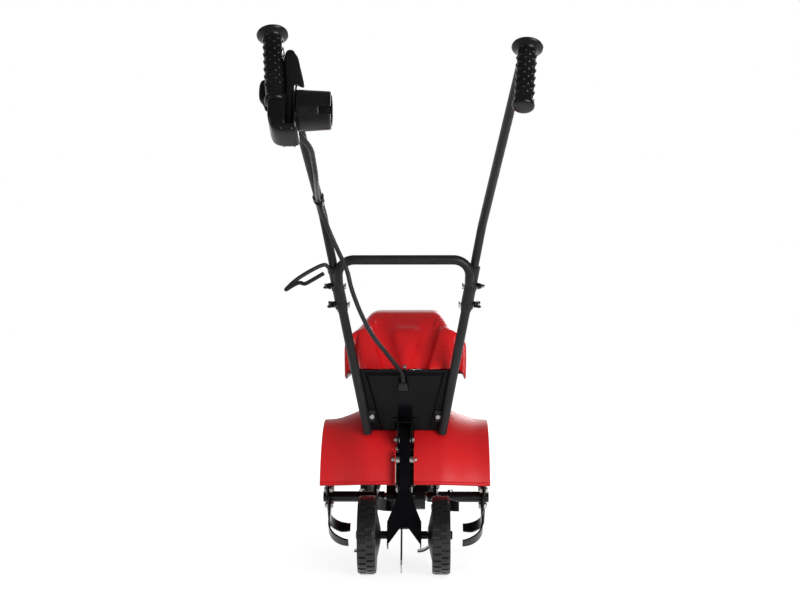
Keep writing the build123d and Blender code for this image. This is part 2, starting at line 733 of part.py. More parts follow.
def hood_plan():
    """The wide part and the narrower tail, seen from above."""
    corners = both_sides([(HOOD_HALF, 150), (HOOD_HALF, -100), (112, -66)])
    wide = make_face([
        FilletPolyline(*corners, radius=[12, 2, 2, 12]),
        ThreePointArc((-HOOD_HALF, 150), (0, 204), (HOOD_HALF, 150)),
    ])
    tail = make_face([
        ThreePointArc((-108, -160), (0, -190), (108, -160)),
        Polyline((108, -160), (118, -40), (-118, -40), (-108, -160)),
    ])
    return wide + fillet(tail.vertices().sort_by(Axis.Y)[:2], 14)


def valley(inset, side):
    """Tool for the trough beside the hood's middle, which ends at the foot of the ridge."""
    groove = rod(VALLEY_R + inset, (side * 68.6, 60, 597.6), (side * 42, -150, 524.6))
    ahead = 1.17 * inset
    behind = Polygon((-300, 450), (ahead - 23, 450), (ahead + 99, 650), (-300, 650), align=None)
    return groove & extrude(Plane.YZ * behind, amount=200, both=True)


def hood_solid(inset):
    shoulder = [(122, 535), (101, 549), (90, 572), (72, HOOD_TOP)]
    rear = rounded(
        both_sides([(HOOD_HALF - 3, HOOD_BASE), (HOOD_HALF, 495), (HOOD_HALF - 3, 516)] + shoulder),
        [60, 20, 60, 20, 24, 20, 20, 24, 20, 60, 20, 60],
    )
    slope = [(-230, HOOD_BASE), (-230, 437), (-80, 508), (40, 553), (62, HOOD_TOP), (112, HOOD_TOP - 1)]
    side = rounded(
        slope + [(152, 558), (190, 492), (240, 440), (240, HOOD_BASE)],
        [5, 200, 12, 14, 40, 60, 60, 5],
    )
    plan = hood_plan()
    if inset:
        rear = offset(rear, amount=-inset)
        side = offset(side, amount=-inset)
        plan = offset(plan, amount=-inset - 1)
    body = extrude(Pos(0, 0, HOOD_BASE) * plan, amount=220)
    body &= extrude(Plane.YZ * side, amount=200, both=True)
    body &= extrude(Plane.XZ * rear, amount=300, both=True)
    for side in (1, -1):
        body -= valley(inset, side)
    return body


def tail_edges(body):
    """Upper edges of the tail."""
    found = []
    for edge in body.edges():
        middle = edge.center()
        outer = abs(middle.X) > 95 or middle.Y < -150
        if outer and middle.Y < -100 and min((edge @ 0).Z, (edge @ 1).Z) > HOOD_TAIL_LOW:
            found.append(edge)
    return found


def hood():
    shell = hood_solid(0)
    shell = fillet(tail_edges(shell), 8) - hood_solid(HOOD_WALL)
    shell -= block(-200, 200, -240, 240, HOOD_BASE - 10, HOOD_LOW)
    shell -= block(-122, 122, -240, -140, HOOD_BASE, HOOD_TAIL_LOW)
    shell -= block(-122, 122, -240, -62, HOOD_BASE, TUB_TOP + 1)
    for side in (1, -1):
        corner = [(143, 432), (129, 449), (113, 449), (113, 420), (143, 420)]
        face = Polygon(*[(side * x, z) for x, z in corner], align=None)
        notch = extrude(Plane.XZ * face, amount=100, dir=(0, -1, 0))
        shell -= Pos(0, -62, 0) * notch
    for k in range(7):
        shell -= block(-48 + 14.5 * k, -41 + 14.5 * k, 150, 240, 452, 482)
    shell -= rod(2.2, HOOD_SCREW, HOOD_SCREW_END)
    for side in (1, -1):
        shell -= rod(2.2, (side * 60, 160, 436), (side * 60, 230, 436))
    return shell


put("hood", hood())

hood_down = (Vector(*HOOD_SCREW_END) - Vector(*HOOD_SCREW)).normalized()
hood_head = Vector(*HOOD_SCREW) + hood_down * 15.9
small_screws = [screw(hood_head, hood_head + hood_down * 24, 2, 4.5, 3)]
for side in (1, -1):
    small_screws.append(screw((side * 60, 197.8, 436), (side * 60, TUB_FRONT - 6, 436), 2, 4.5, 3))


# Hitch bracket: inverted channel with a foot on the panel
def hitch_bracket():
    channel = block(-17, 17, -186, -100, 280, 335) - block(-14, 14, -190, -90, 270, 332)
    channel += PANEL * Pos(0, 14, 1.5) * Box(58, 32, 3)
    channel -= block(-14, 14, -190, -100, 270, 332)
    channel -= PANEL * Pos(0, 0, -50) * Box(200, 200, 100)
    at = strut_at(HITCH_Z)
    return channel - rod(4.1, (-40, at.Y, at.Z), (40, at.Y, at.Z))


put("hitch_bracket", hitch_bracket())


# Strut: square tube with the stake inside its lower end
def strut_y(z):
    """Height along the strut, measured from the fork's pivot."""
    return (z - PIVOT_Z) * STRUT_LEN


def strut():
    low = strut_y(101)
    top = strut_y(321)
    tube = Pos(0, (low + top) / 2, 0) * Box(2 * STRUT_HALF, top - low, 22)
    tube -= Box(18, 800, 17)
    for z in (HITCH_Z, STRUT_Z):
        tube -= Pos(0, strut_y(z), 0) * Rot(0, 90, 0) * Cylinder(4.1, 60)
    tube -= Rot(0, 90, 0) * Cylinder(5.1, 60)
    tube -= Pos(STAKE_X, strut_y(STAKE_SCREW_Z), -12) * Cylinder(3 + RUN, 12)
    return STRUT * tube


put("strut", strut())

# Bolts of the frame: guard to tub, panel to legs, strut to guard, strut to hitch, fork to strut
frame_bolts = []
for side in (1, -1):
    frame_bolts += bolt((side * 80, 0, 348.1), (side * 80, 0, FLOOR), 3, 10, 3.4, 5)
    frame_bolts.append(ring(7, 3.1, (side * 80, 0, 350.3), (side * 80, 0, FLOOR_Z)))
    head = PANEL.from_local_coords((side * 77, PANEL_BOLT, 3))
    tail = PANEL.from_local_coords((side * 77, PANEL_BOLT, -PANEL_T - 3))
    frame_bolts += bolt(head, tail, 3.4, 10, 4.6, 5)
for z, gap, plate in ((STRUT_Z, GUARD_GAP, GUARD_T), (HITCH_Z, 14, 3)):
    at = strut_at(z)
    frame_bolts += bolt((gap + plate, at.Y, at.Z), (-gap - plate, at.Y, at.Z), 4, 11, 5, 6)
    spacer = ring(8, 4.1, (STRUT_HALF, at.Y, at.Z), (gap, at.Y, at.Z))
    frame_bolts += [spacer, flip(spacer)]
at = strut_at(PIVOT_Z)
frame_bolts += bolt((15.5, at.Y, at.Z), (-15.5, at.Y, at.Z), 5, 15, 2.2, 2.4)
put("frame_bolts", *frame_bolts)

# Depth stake, its guide and its thumb screw
def depth_stake():
    top = strut_y(168)
    tip = strut_y(STAKE_TIP_Z)
    outline = Polygon((top, -8), (top, 8), (tip + 16, 8), (tip, 1), (tip, -1), (tip + 16, -8), align=None)
    face = Plane((STAKE_X - 2, 0, 0), x_dir=(0, 1, 0), z_dir=(1, 0, 0)) * outline
    return STRUT * extrude(face, amount=4, dir=(1, 0, 0))


put("depth_stake", depth_stake())
put("stake_guide", STRUT * (Pos(2.6, strut_y(STAKE_SCREW_Z), 0) * Box(12.6, 38, 16.4)))


def stake_screw():
    thumb = rod(3, (0, 0, -8.3), (0, 0, -20)) + rod(9, (0, 0, -15), (0, 0, -27))
    for k in range(6):
        x = 10.5 * cos(radians(60 * k))
        y = 10.5 * sin(radians(60 * k))
        thumb -= rod(3, (x, y, -10), (x, y, -30))
    return STRUT * Pos(STAKE_X, strut_y(STAKE_SCREW_Z), 0) * thumb


put("stake_screw", stake_screw())


# Wheel fork: one pressing with cheeks at the pivot and tabs for the stub axles
axle_local = STRUT.to_local_coords(AXLE)


def wheel_fork():
    half = 15.2
    tab_end = TAB_X + 2.5
    outline = Polygon(
        (half, -14), (half, -23), (tab_end, -82), (tab_end, -136), (9.5, -96), (-9.5, -96),
        (-tab_end, -136), (-tab_end, -82), (-half, -23), (-half, -14), align=None,
    )
    fork = Pos(0, 0, 15) * extrude(outline, amount=3, dir=(0, 0, 1))
    for side in (1, -1):
        cheek = Pos(side * (half - 1.5), -19, 2) * Box(3, 50, 28)
        cheek += Pos(side * (half - 1.5), 0, 0) * Rot(0, 90, 0) * Cylinder(13, 3)
        cheek -= Pos(side * half, 13, 13) * Rot(45, 0, 0) * Box(10, 40, 18)
        fork += cheek
        fork += Pos(side * (TAB_X + 1), axle_local.Y, 1) * Box(3, 56, 34)
    fork -= Rot(0, 90, 0) * Cylinder(5 + RUN, 80)
    fork -= Pos(0, axle_local.Y, axle_local.Z) * Rot(0, 90, 0) * Cylinder(6.1, 100)
    return STRUT * fork


put("wheel_fork", wheel_fork())


# Stub axles with a nut behind the tab and a collar before the wheel; their end caps
def on_axle(radius, x0, x1):
    return rod(radius, (x0, AXLE_Y, AXLE_Z), (x1, AXLE_Y, AXLE_Z))


def stub_axle():
    stub = on_axle(6, 30, 104) + on_axle(9, TAB_X + 2.5, WHEEL_X - 29.9)
    return stub + hexbar(18, (29, AXLE_Y, AXLE_Z), (TAB_X - 0.5, AXLE_Y, AXLE_Z))


put("stub_axles", stub_axle(), flip(stub_axle()))
cap = on_axle(9.5, WHEEL_X + 16.4, 108) - on_axle(6.1, 90, 104.2)
put("axle_caps", cap, flip(cap))


# Wheels: dished disc, ribs on the outer side, two rows of lugs
def wheel():
    edge = WHEEL_W / 2
    r = WHEEL_RAD
    outline = Polyline(
        (-29.5, 6 + RUN), (-29.5, 16), (-edge, 60), (-edge, r - 3.5), (-edge + 6, r), (edge - 6, r),
        (edge, r - 3.5), (edge, r - 9), (-edge + 7, r - 13), (-edge + 4, 60), (-24.5, 20), (16, 14),
        (16, 6 + RUN), close=True,
    )
    body = revolve(make_face(outline), axis=Axis.X)
    rib = Polygon((-24.5, 13), (14, 13), (6, r - 11), (-16, r - 11), (-18, 62), align=None)
    rib = extrude(Plane.XZ * rib, amount=2, both=True)
    body += [Rot(60 * k + 30, 0, 0) * rib for k in range(6)]
    count = 30
    grooves = []
    for k in range(count):
        turn = 360 / count * k
        grooves.append(Rot(turn + 6, 0, 0) * Pos(edge / 2 + 1, 0, r) * Box(edge, 5.6, 6))
        grooves.append(Rot(turn, 0, 0) * Pos(-edge / 2 - 1, 0, r) * Box(edge, 5.6, 6))
    body -= grooves
    return Pos(WHEEL_X, AXLE_Y, AXLE_Z) * body


put("wheel_right", wheel())
put("wheel_left", flip(wheel()))

# Switch box on the end of the left bar, ahead of the grip's end
END = LEFT_CORNER + GRIP_DIR * (GRIP_START + GRIP_LEN)
END = Vector(-END.X, END.Y, END.Z) + RAISE
BOX_LEN = sqrt(GRIP_DY * GRIP_DY + GRIP_DZ * GRIP_DZ)
BAR_Y = 19.0
BAR_END = Plane(END, x_dir=(1, 0, 0), z_dir=(0, GRIP_DY / BOX_LEN, GRIP_DZ / BOX_LEN))
BOX = Plane(BAR_END.from_local_coords((0, -BAR_Y, 0)), x_dir=(1, 0, 0), z_dir=BAR_END.z_dir)
BOX_L = -12.0
BOX_R = 39.5
BOX_Y = 33.0
BOX_TOP = 2.0
BOX_LOW = 80.0
CAVITY_LOW = 65.0
LEVER_X = 27.5
LEVER_HALF = 6.5
LEVER_PIVOT_Y = 12.0
LEVER_PIVOT_Z = 56.0
LOCK_Y = -5.0
LOCK_Z = 9.5
INLET_Z = 20.0
INLET_R = 37.5
INLET_TURN = 33.0
LEAD_OUT = Vector(26, -24, 40)
LEAD_AHEAD = Vector(59, -70, 50)


def box_outline():
    """The box seen from the operator: a shoulder behind the inlet and a sloping lower left side."""
    shoulder = INLET_Z - INLET_R - 1.5
    return rounded(
        [(36, BOX_TOP), (BOX_L, BOX_TOP), (BOX_L, 56), (1, BOX_LOW), (BOX_R, BOX_LOW), (BOX_R, shoulder),
         (36, shoulder)],
        [5, 20, 10, 7, 2],
    )


def box_body():
    body = extrude(Plane.XZ * box_outline(), amount=BOX_Y, both=True)
    body -= block(14, BOX_R - 3, -BOX_Y + 3, -8, BOX_TOP + 3, CAVITY_LOW)
    slot = LEVER_HALF + 0.7
    body -= block(LEVER_X - slot, LEVER_X + slot, -9, BOX_Y + 5, BOX_TOP - 40, CAVITY_LOW)
    bar_way = Vector(-GRIP_DX, 0, BOX_LEN).normalized()
    bar_at = Vector(0, BAR_Y, 0)
    body -= rod(BAR_R + RUN, bar_at - bar_way * 10, bar_at + bar_way * 27)
    body -= rod(20.2, bar_at - bar_way * 10, bar_at + bar_way * (GRIP_SINK + 1))
    body -= rod(5.4, (BOX_L - 5, LOCK_Y, LOCK_Z), (8, LOCK_Y, LOCK_Z))
    body -= rod(9, (BOX_R - 8, 0, INLET_Z), (BOX_R + 8, 0, INLET_Z))
    body -= rod(5.05, LEAD_OUT, LEAD_AHEAD)
    for x, z in box_screws():
        body -= rod(1.6, (x, -BOX_Y - 5, z), (x, 24, z))
    return body - rod(2.5 + RUN, (14.5, LEVER_PIVOT_Y, LEVER_PIVOT_Z), (38.5, LEVER_PIVOT_Y, LEVER_PIVOT_Z))


def box_screws():
    return ((4, 44), (14, 72), (33, 72))


box_all = box_body()
rear_half = block(-100, 100, 0, 100, -100, 200)
put("switch_housing", BOX * (box_all & rear_half))
put("switch_cover", BOX * (box_all - rear_half))
for x, z in box_screws():
    small_screws.append(BOX * screw((x, -BOX_Y, z), (x, 23, z), 1.5, 3, 2))
put("small_screws", *small_screws)


# Safety lever on moulded trunnions, with a round tip and a thin wing before it
def lever():
    y = LEVER_PIVOT_Y
    z = LEVER_PIVOT_Z
    outline = Polygon((y - 5, z + 6), (y + 5, z + 6), (27, 0), (34, -92), (27.5, -93), (20, 0), align=None)
    arm = Pos(LEVER_X, 0, 0) * extrude(Plane.YZ * outline, amount=LEVER_HALF, both=True)
    tip = arm.edges().filter_by(lambda edge: edge.center().Z < -80 and abs(edge.center().X - LEVER_X) > 1)
    arm = fillet([edge for edge in tip if edge.length < 10], LEVER_HALF - 0.5)
    arm += rod(7, (LEVER_X - LEVER_HALF, y, z), (LEVER_X + LEVER_HALF, y, z))
    arm += rod(2.5, (15, y, z), (38, y, z))
    wing = Plane.YZ * Polygon((0, -30), (0, -88), (-46, -32), align=None)
    return arm + Pos(LEVER_X + LEVER_HALF - 2, 24, 0) * Rot(0, 0, 14) * extrude(wing, amount=1.2, both=True)


put("switch_lever", BOX * lever())


# Lock-off button: a long pad beside the grip on a stem in the box
def lock_button():
    pad = block(BOX_L - 16, BOX_L - 4.5, LOCK_Y - 7, LOCK_Y + 7, LOCK_Z - 58, LOCK_Z + 6.5)
    pad = fillet(pad.edges().filter_by(Axis.X), 6.5)
    return pad + rod(5, (BOX_L - 5, LOCK_Y, LOCK_Z), (3, LOCK_Y, LOCK_Z))


put("lock_button", BOX * lock_button())
module = block(16, 35, -29, -10, 6, 32) + rod(3, (LEVER_X, -11, 24), (LEVER_X, -6.5, 24))
put("switch_module", BOX * module)


# Mains inlet: shroud with a notch, two contact pins
def inlet():
    outline = Polyline(
        (BOX_R, 0), (BOX_R, INLET_R), (BOX_R + 6, INLET_R), (BOX_R + 58, 34.5), (BOX_R + 61, 32),
        (BOX_R + 61, 29), (BOX_R + 18, 29), (BOX_R + 18, 0), close=True,
    )
    shroud = revolve(make_face(outline), axis=Axis.X)
    shroud -= Rot(INLET_TURN, 0, 0) * block(BOX_R + 39, BOX_R + 70, 20, 50, -7, 7)
    for side in (1, -1):
        shroud -= rod(3.6, (0, 0, side * 9.5), (100, 0, side * 9.5))
    return BOX * Pos(0, 0, INLET_Z) * shroud


put("inlet_shroud", inlet())
contacts = []
for side in (1, -1):
    z = INLET_Z + side * 9.5
    shoulder = rod(3.5, (BOX_R + 2, 0, z), (BOX_R + 18, 0, z))
    contacts.append(BOX * (shoulder + rod(2.4, (BOX_R + 17, 0, z), (BOX_R + 37, 0, z))))
put("inlet_pins", *contacts)

# Motor lead: from the switch box past a clip on each bend of the bar to the boot on the panel
CABLE_R = 5.0
CLIP_A = Vector(-178.5, -399.6, 818.6)
CLIP_A_WAY = Vector(0.1, 0.85, -0.5).normalized()
lead_points = [
    BOX.from_local_coords(LEAD_OUT),
    BOX.from_local_coords(LEAD_AHEAD),
    Vector(-161, -700, 855),
    Vector(-168, -600, 840),
    Vector(-175, -500, 833),
    CLIP_A - CLIP_A_WAY * 22,
    CLIP_A + CLIP_A_WAY * 18,
    Vector(-163, -357, 768),
    Vector(-140, -353, 716),
    Vector(-122, -355, 680),
    Vector(-114, -347, 640),
    Vector(-98, -331, 594),
    Vector(-72, -301, 537),
    Vector(-36, -266, 491),
    PANEL.from_local_coords((-3.7, 152, 15 + PANEL_FIELD)),
    PANEL.from_local_coords((-3.7, 109, 11 + PANEL_FIELD)),
]


def bend_radii(points):
    """Largest arc at each corner that leaves a little of both runs straight."""
    radii = []
    for a, b, c in zip(points, points[1:], points[2:]):
        turn = radians((b - a).get_angle(c - b))
        radii.append(0.45 * min((b - a).length, (c - b).length) / tan(turn / 2))
    return radii


lead_bends = bend_radii(lead_points)
print("least bend of the motor lead", round(min(lead_bends)))
put("motor_lead", wire(lead_points, lead_bends, CABLE_R))


# What holds the lead: a clip on the bar, and a boot on the panel that is open at its top
def bar_clip():
    bend = leg_at(BEND_Z, -1) + RAISE
    way = (Vector(-LEFT_CORNER_X, CORNER_Y, CORNER_Z) + RAISE - bend).normalized()
    near = bend + way * (CLIP_A - bend).dot(way)
    clip = rod(BAR_R + 3, near - way * 7, near + way * 7)
    clip += rod(CABLE_R + 3, CLIP_A - CLIP_A_WAY * 7, CLIP_A + CLIP_A_WAY * 7)
    clip -= rod(BAR_R + RUN, near - way * 9, near + way * 9)
    return clip - rod(CABLE_R + 0.4, CLIP_A - CLIP_A_WAY * 9, CLIP_A + CLIP_A_WAY * 9)


def lead_boot():
    boot = extrude(Pos(-3.7, 0, PANEL_FIELD) * spread(13, 108, 9.5, 131), amount=20)
    boot = fillet(boot.edges().group_by(Axis.Z)[-1], 4)
    return PANEL * boot - rod(CABLE_R + 0.1, lead_points[-1], lead_points[-2])


put("lead_holders", bar_clip(), lead_boot())


# Cord hook: saddle on the left sleeve and a bent wire
def cord_hook():
    at = leg_at(683, -1)
    way = Vector(-LEG_DX, LEG_DY, 1).normalized()
    band = ring(16.4, SLEEVE_R + 0.1, at - way * 4, at + way * 4)
    saddle = band & block(-200, -160, -400, -297, 600, 800)
    points = ((-167.2, -310.2, 688), (-250, -327, 648), (-250, -351, 632), (-178, -351, 664))
    return saddle + wire(points, 9, 3.4)


put("cord_hook", cord_hook())

os.makedirs("parts", exist_ok=True)
for name, shape in nodes.items():
    export_step(shape, "parts/" + name + ".step")
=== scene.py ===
# Looks of the electric tiller: finishes, moulded pieces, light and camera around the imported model.
import json
import math

import bmesh
import bpy
import numpy as np
import openvdb
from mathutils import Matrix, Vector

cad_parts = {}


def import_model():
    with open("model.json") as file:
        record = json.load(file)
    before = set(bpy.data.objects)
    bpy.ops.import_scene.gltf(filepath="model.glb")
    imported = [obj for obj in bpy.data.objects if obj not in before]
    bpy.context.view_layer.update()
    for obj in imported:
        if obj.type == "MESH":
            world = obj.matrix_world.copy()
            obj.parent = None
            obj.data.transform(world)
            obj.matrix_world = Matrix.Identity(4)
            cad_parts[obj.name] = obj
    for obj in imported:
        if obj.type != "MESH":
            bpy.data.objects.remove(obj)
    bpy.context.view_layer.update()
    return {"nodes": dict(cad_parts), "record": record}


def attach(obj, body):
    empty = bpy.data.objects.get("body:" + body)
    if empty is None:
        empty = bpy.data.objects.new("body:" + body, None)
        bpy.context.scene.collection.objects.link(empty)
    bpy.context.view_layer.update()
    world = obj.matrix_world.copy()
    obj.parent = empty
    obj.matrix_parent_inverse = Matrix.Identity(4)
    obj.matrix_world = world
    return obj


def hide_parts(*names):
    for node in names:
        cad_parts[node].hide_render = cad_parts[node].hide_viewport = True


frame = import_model()
record = frame["record"]
nodes = frame["nodes"]

# Places in metres. The tine shaft lies ahead of the origin.
SHAFT_Y = 0.345
AXLE_Y = SHAFT_Y - 0.255
AXLE_Z = 0.087
WHEEL_R = 0.087
LUG_SPAN = (WHEEL_R - 0.0028, WHEEL_R - 0.0012)
STAKE_PAINT_LOW = 0.039
STAKE_PAINT_WOBBLE = 0.006

# Camera, its place solved from the photograph
CAMERA_AT = (0.049, SHAFT_Y - 3.170, 0.614)
CAMERA_YAW = 0.02006
CAMERA_LENS = 58.5
SENSOR_WIDTH = 36.0

# Colours, linear
WHITE = (1, 1, 1, 1)
RED = (0.62, 0.010, 0.013, 1)
BLACK = (0.0045, 0.0045, 0.0052, 1)
TUBE_GREY = (0.013, 0.013, 0.0145, 1)
PANEL_BLACK = (0.0030, 0.0028, 0.0040, 1)
ZINC = (0.60, 0.60, 0.58, 1)
STEEL = (0.42, 0.42, 0.43, 1)
BARE_TIP = (0.55, 0.54, 0.52, 1)
BRASS = (0.68, 0.50, 0.21, 1)
BRONZE = (0.52, 0.34, 0.15, 1)
COPPER = (0.55, 0.20, 0.08, 1)
ALUMINIUM = (0.60, 0.60, 0.62, 1)
FLOOR_WHITE = (0.38, 0.38, 0.38, 1)

# Light: levels at which a colour shows about as it is written
FLOOR_HALF = 14.0
FLOOR_GLOW = 0.82
GLOW_SPAN = (0.8, 3.0)
PAPER_SPAN = (-1.2, -0.4)
ROOM_LIGHT = 0.24
CEILING_LIGHT = 0.42
CEILING_WAY = (0, -0.5, 0.866)
ROOM_MIRRORED = 0.10
BACKDROP_SPAN = (0.0, 0.7)
LAMP_AIM = (0, 0.2, 0.5)
LAMPS = [
    ("key", (1.9, -2.9, 0.9), (1.8, 1.6), 104),
    ("fill", (-2.8, -2.4, 1.6), (1.6, 1.6), 13),
    ("front", (1.2, 3.6, 1.8), (1.6, 1.6), 45),
]


class Tree:
    """Short names for the nodes of one tree."""

    def __init__(self, tree):
        self.tree = tree

    def add(self, kind, **values):
        node = self.tree.nodes.new(kind)
        for key, value in values.items():
            if key in node.inputs:
                node.inputs[key].default_value = value
            else:
                setattr(node, key, value)
        return node

    def link(self, source, target):
        self.tree.links.new(source, target)

    def calc(self, operation, first, second):
        """Sum, product or the like of two sockets, or of a socket and a number."""
        node = self.add("ShaderNodeMath", operation=operation)
        for place, value in zip(node.inputs, (first, second)):
            if isinstance(value, float):
                place.default_value = value
            else:
                self.link(value, place)
        return node.outputs["Value"]

    def axes(self, vector):
        """The three numbers of a vector."""
        node = self.add("ShaderNodeSeparateXYZ")
        self.link(vector, node.inputs["Vector"])
        return node.outputs

    def length(self, vector):
        node = self.add("ShaderNodeVectorMath", operation="LENGTH")
        self.link(vector, node.inputs[0])
        return node.outputs["Value"]

    def mapped(self, source, span, to=(0.0, 1.0), kind="LINEAR"):
        """One span of values mapped to another, and held at its ends."""
        node = self.add("ShaderNodeMapRange", interpolation_type=kind)
        for key, value in zip(("From Min", "From Max", "To Min", "To Max"), span + to):
            node.inputs[key].default_value = value
        self.link(source, node.inputs["Value"])
        return node.outputs["Result"]


class Graph(Tree):
    """The nodes of one material."""

    def __init__(self, name):
        self.material = bpy.data.materials.new(name)
        self.material.use_nodes = True
        super().__init__(self.material.node_tree)
        self.shader = self.tree.nodes["Principled BSDF"]
        self.coords = self.add("ShaderNodeTexCoord").outputs["Object"]

    def noise(self, scale, detail=3.0, stretch=None):
        node = self.add("ShaderNodeTexNoise", Scale=scale, Detail=detail)
        if stretch is None:
            self.link(self.coords, node.inputs["Vector"])
        else:
            place = self.add("ShaderNodeMapping", Scale=stretch)
            self.link(self.coords, place.inputs["Vector"])
            self.link(place.outputs["Vector"], node.inputs["Vector"])
        return node.outputs["Fac"]

    def ramp(self, source, low, high, low_at=0.35, high_at=0.65):
        """Maps a texture between two values or two colours."""
        node = self.add("ShaderNodeValToRGB")
        first, last = node.color_ramp.elements
        first.position = low_at
        last.position = high_at
        first.color = low if isinstance(low, tuple) else (low, low, low, 1)
        last.color = high if isinstance(high, tuple) else (high, high, high, 1)
        self.link(source, node.inputs["Fac"])
        return node.outputs["Color"]

    def colour(self, source, *stops):
        self.link(self.ramp(source, *stops), self.shader.inputs["Base Color"])

    def rough(self, source, *stops):
        self.link(self.ramp(source, *stops), self.shader.inputs["Roughness"])

    def bump(self, source, strength, height, edge):
        """Fine relief over edges that are rounded by a small radius."""
        soft = self.add("ShaderNodeBevel", Radius=edge, samples=4)
        node = self.add("ShaderNodeBump", Strength=strength, Distance=height)
        self.link(source, node.inputs["Height"])
        self.link(soft.outputs["Normal"], node.inputs["Normal"])
        self.link(node.outputs["Normal"], self.shader.inputs["Normal"])

    def set(self, **values):
        for key, value in values.items():
            self.shader.inputs[key.replace("_", " ")].default_value = value


def shade(colour, factor):
    return (colour[0] * factor, colour[1] * factor, colour[2] * factor, 1)


def enamel(name, colour, rough, edge):
    """Gloss paint or moulding: slight orange peel, uneven gloss."""
    g = Graph(name)
    g.colour(g.noise(7), shade(colour, 0.92), shade(colour, 1.05))
    g.rough(g.noise(60), rough - 0.03, rough + 0.03)
    g.bump(g.noise(160, detail=0.0), strength=0.012, height=0.0003, edge=edge)
    g.set(Specular_IOR_Level=0.30)
    return g.material


def powder_coat(name, colour, edge, gloss=0.36):
    """Black paint baked on steel: fine pimples, uneven gloss."""
    g = Graph(name)
    g.colour(g.noise(14), shade(colour, 0.6), shade(colour, 1.3))
    g.rough(g.noise(45), 0.19, 0.27)
    g.bump(g.noise(1300), strength=0.03, height=0.0003, edge=edge)
    g.set(Specular_IOR_Level=gloss)
    return g.material


def satin_coat(name, colour, edge):
    """Black paint with a duller skin, as on the tubes."""
    g = Graph(name)
    g.colour(g.noise(14), shade(colour, 0.75), shade(colour, 1.25))
    g.rough(g.noise(45), 0.38, 0.50)
    g.bump(g.noise(900), strength=0.03, height=0.0003, edge=edge)
    g.set(Specular_IOR_Level=0.28)
    return g.material


def moulded(name, colour, rough, grain, edge):
    """Moulded plastic with a fine spark-eroded grain."""
    g = Graph(name)
    g.colour(g.noise(9), shade(colour, 0.85), shade(colour, 1.3))
    g.rough(g.noise(70), rough - 0.06, rough + 0.06)
    g.bump(g.noise(grain, detail=2.0), strength=0.05, height=0.0004, edge=edge)
    g.set(Specular_IOR_Level=0.36)
    return g.material


def rubber(name, colour, rough, edge):
    """Rubber: uneven shade, dull pores."""
    g = Graph(name)
    g.colour(g.noise(22), shade(colour, 0.8), shade(colour, 1.5))
    g.rough(g.noise(120), rough - 0.08, rough + 0.08)
    g.bump(g.noise(1800, detail=2.0), strength=0.04, height=0.0003, edge=edge)
    g.set(Specular_IOR_Level=0.30)
    return g.material


def bare_metal(name, colour, rough, stretch, edge):
    """Plated or ground metal: streaks along one direction."""
    g = Graph(name)
    g.colour(g.noise(30), shade(colour, 0.8), shade(colour, 1.1))
    g.rough(g.noise(40, 4.0, stretch), rough - 0.08, rough + 0.1)
    g.bump(g.noise(300, 3.0, stretch), strength=0.08, height=0.0003, edge=edge)
    g.set(Metallic=1.0)
    return g.material


def tread_with_painted_groove_shade(name, colour, edge):
    """Hard tyre: the lugs' tops polished and painted lighter as a painted highlight, dull and
    painted darker between them as painted shade.
    """
    g = Graph(name)
    split = g.axes(g.coords)
    flat = g.add("ShaderNodeCombineXYZ")
    for axis, middle in (("Y", AXLE_Y), ("Z", AXLE_Z)):
        g.link(g.calc("SUBTRACT", split[axis], middle), flat.inputs[axis])
    top = g.mapped(g.length(flat.outputs["Vector"]), LUG_SPAN)
    # Painted highlight on the lug tops and painted shade in the grooves: the colour grows lighter
    # with the radius; the roughness change is the real finish.
    g.colour(top, shade(colour, 0.7), shade(colour, 1.9), 0.1, 0.9)
    g.rough(top, 0.46, 0.26, 0.1, 0.9)
    g.bump(g.noise(600, detail=2.0), strength=0.06, height=0.0004, edge=edge)
    g.set(Specular_IOR_Level=0.45)
    return g.material


def stake_finish(name):
    """Black paint that stops short of a bare tip."""
    g = Graph(name)
    wobble = g.calc("MULTIPLY", g.noise(120), STAKE_PAINT_WOBBLE)
    height = g.calc("ADD", g.axes(g.coords)["Z"], wobble)
    painted = g.calc("GREATER_THAN", height, STAKE_PAINT_LOW)
    g.colour(painted, BARE_TIP, BLACK, 0.4, 0.6)
    g.link(g.ramp(painted, 1.0, 0.0, 0.4, 0.6), g.shader.inputs["Metallic"])
    g.rough(g.noise(160), 0.30, 0.45)
    g.bump(g.noise(900), strength=0.10, height=0.0004, edge=0.0006)
    return g.material


finishes = {
    "hood_red": enamel("hood_red", RED, 0.30, 0.0025),
    "guard_red": enamel("guard_red", RED, 0.44, 0.0006),
    "tube_black": satin_coat("tube_black", TUBE_GREY, 0.0006),
    "frame_black": powder_coat("frame_black", PANEL_BLACK, 0.0008, gloss=0.13),
    "tine_black": powder_coat("tine_black", BLACK, 0.0008),
    "case_black": powder_coat("case_black", BLACK, 0.0020),
    "grip_rubber": rubber("grip_rubber", BLACK, 0.26, 0.0010),
    "wheel_black": tread_with_painted_groove_shade("wheel_black", BLACK, 0.0012),
    "switch_black": moulded("switch_black", BLACK, 0.28, 1100, 0.0016),
    "trim_black": moulded("trim_black", BLACK, 0.32, 1100, 0.0010),
    "lead_sheath": rubber("lead_sheath", TUBE_GREY, 0.46, 0.0005),
    "zinc": bare_metal("zinc", ZINC, 0.30, (1, 1, 1), 0.0004),
    "steel": bare_metal("steel", STEEL, 0.32, (8, 1, 1), 0.0004),
    "stake_steel": stake_finish("stake_steel"),
    "aluminium": bare_metal("aluminium", ALUMINIUM, 0.38, (1, 1, 6), 0.0008),
    "brass": bare_metal("brass", BRASS, 0.25, (6, 1, 1), 0.0003),
    "bronze": bare_metal("bronze", BRONZE, 0.35, (6, 1, 1), 0.0003),
    "copper": bare_metal("copper", COPPER, 0.35, (1, 1, 9), 0.0003),
    "seal_rubber": rubber("seal_rubber", BLACK, 0.6, 0.0004),
}
for part in record["subparts"]:
    piece = nodes[part["node"]]
    piece.data.materials.clear()
    piece.data.materials.append(finishes[part["material_slot"]])


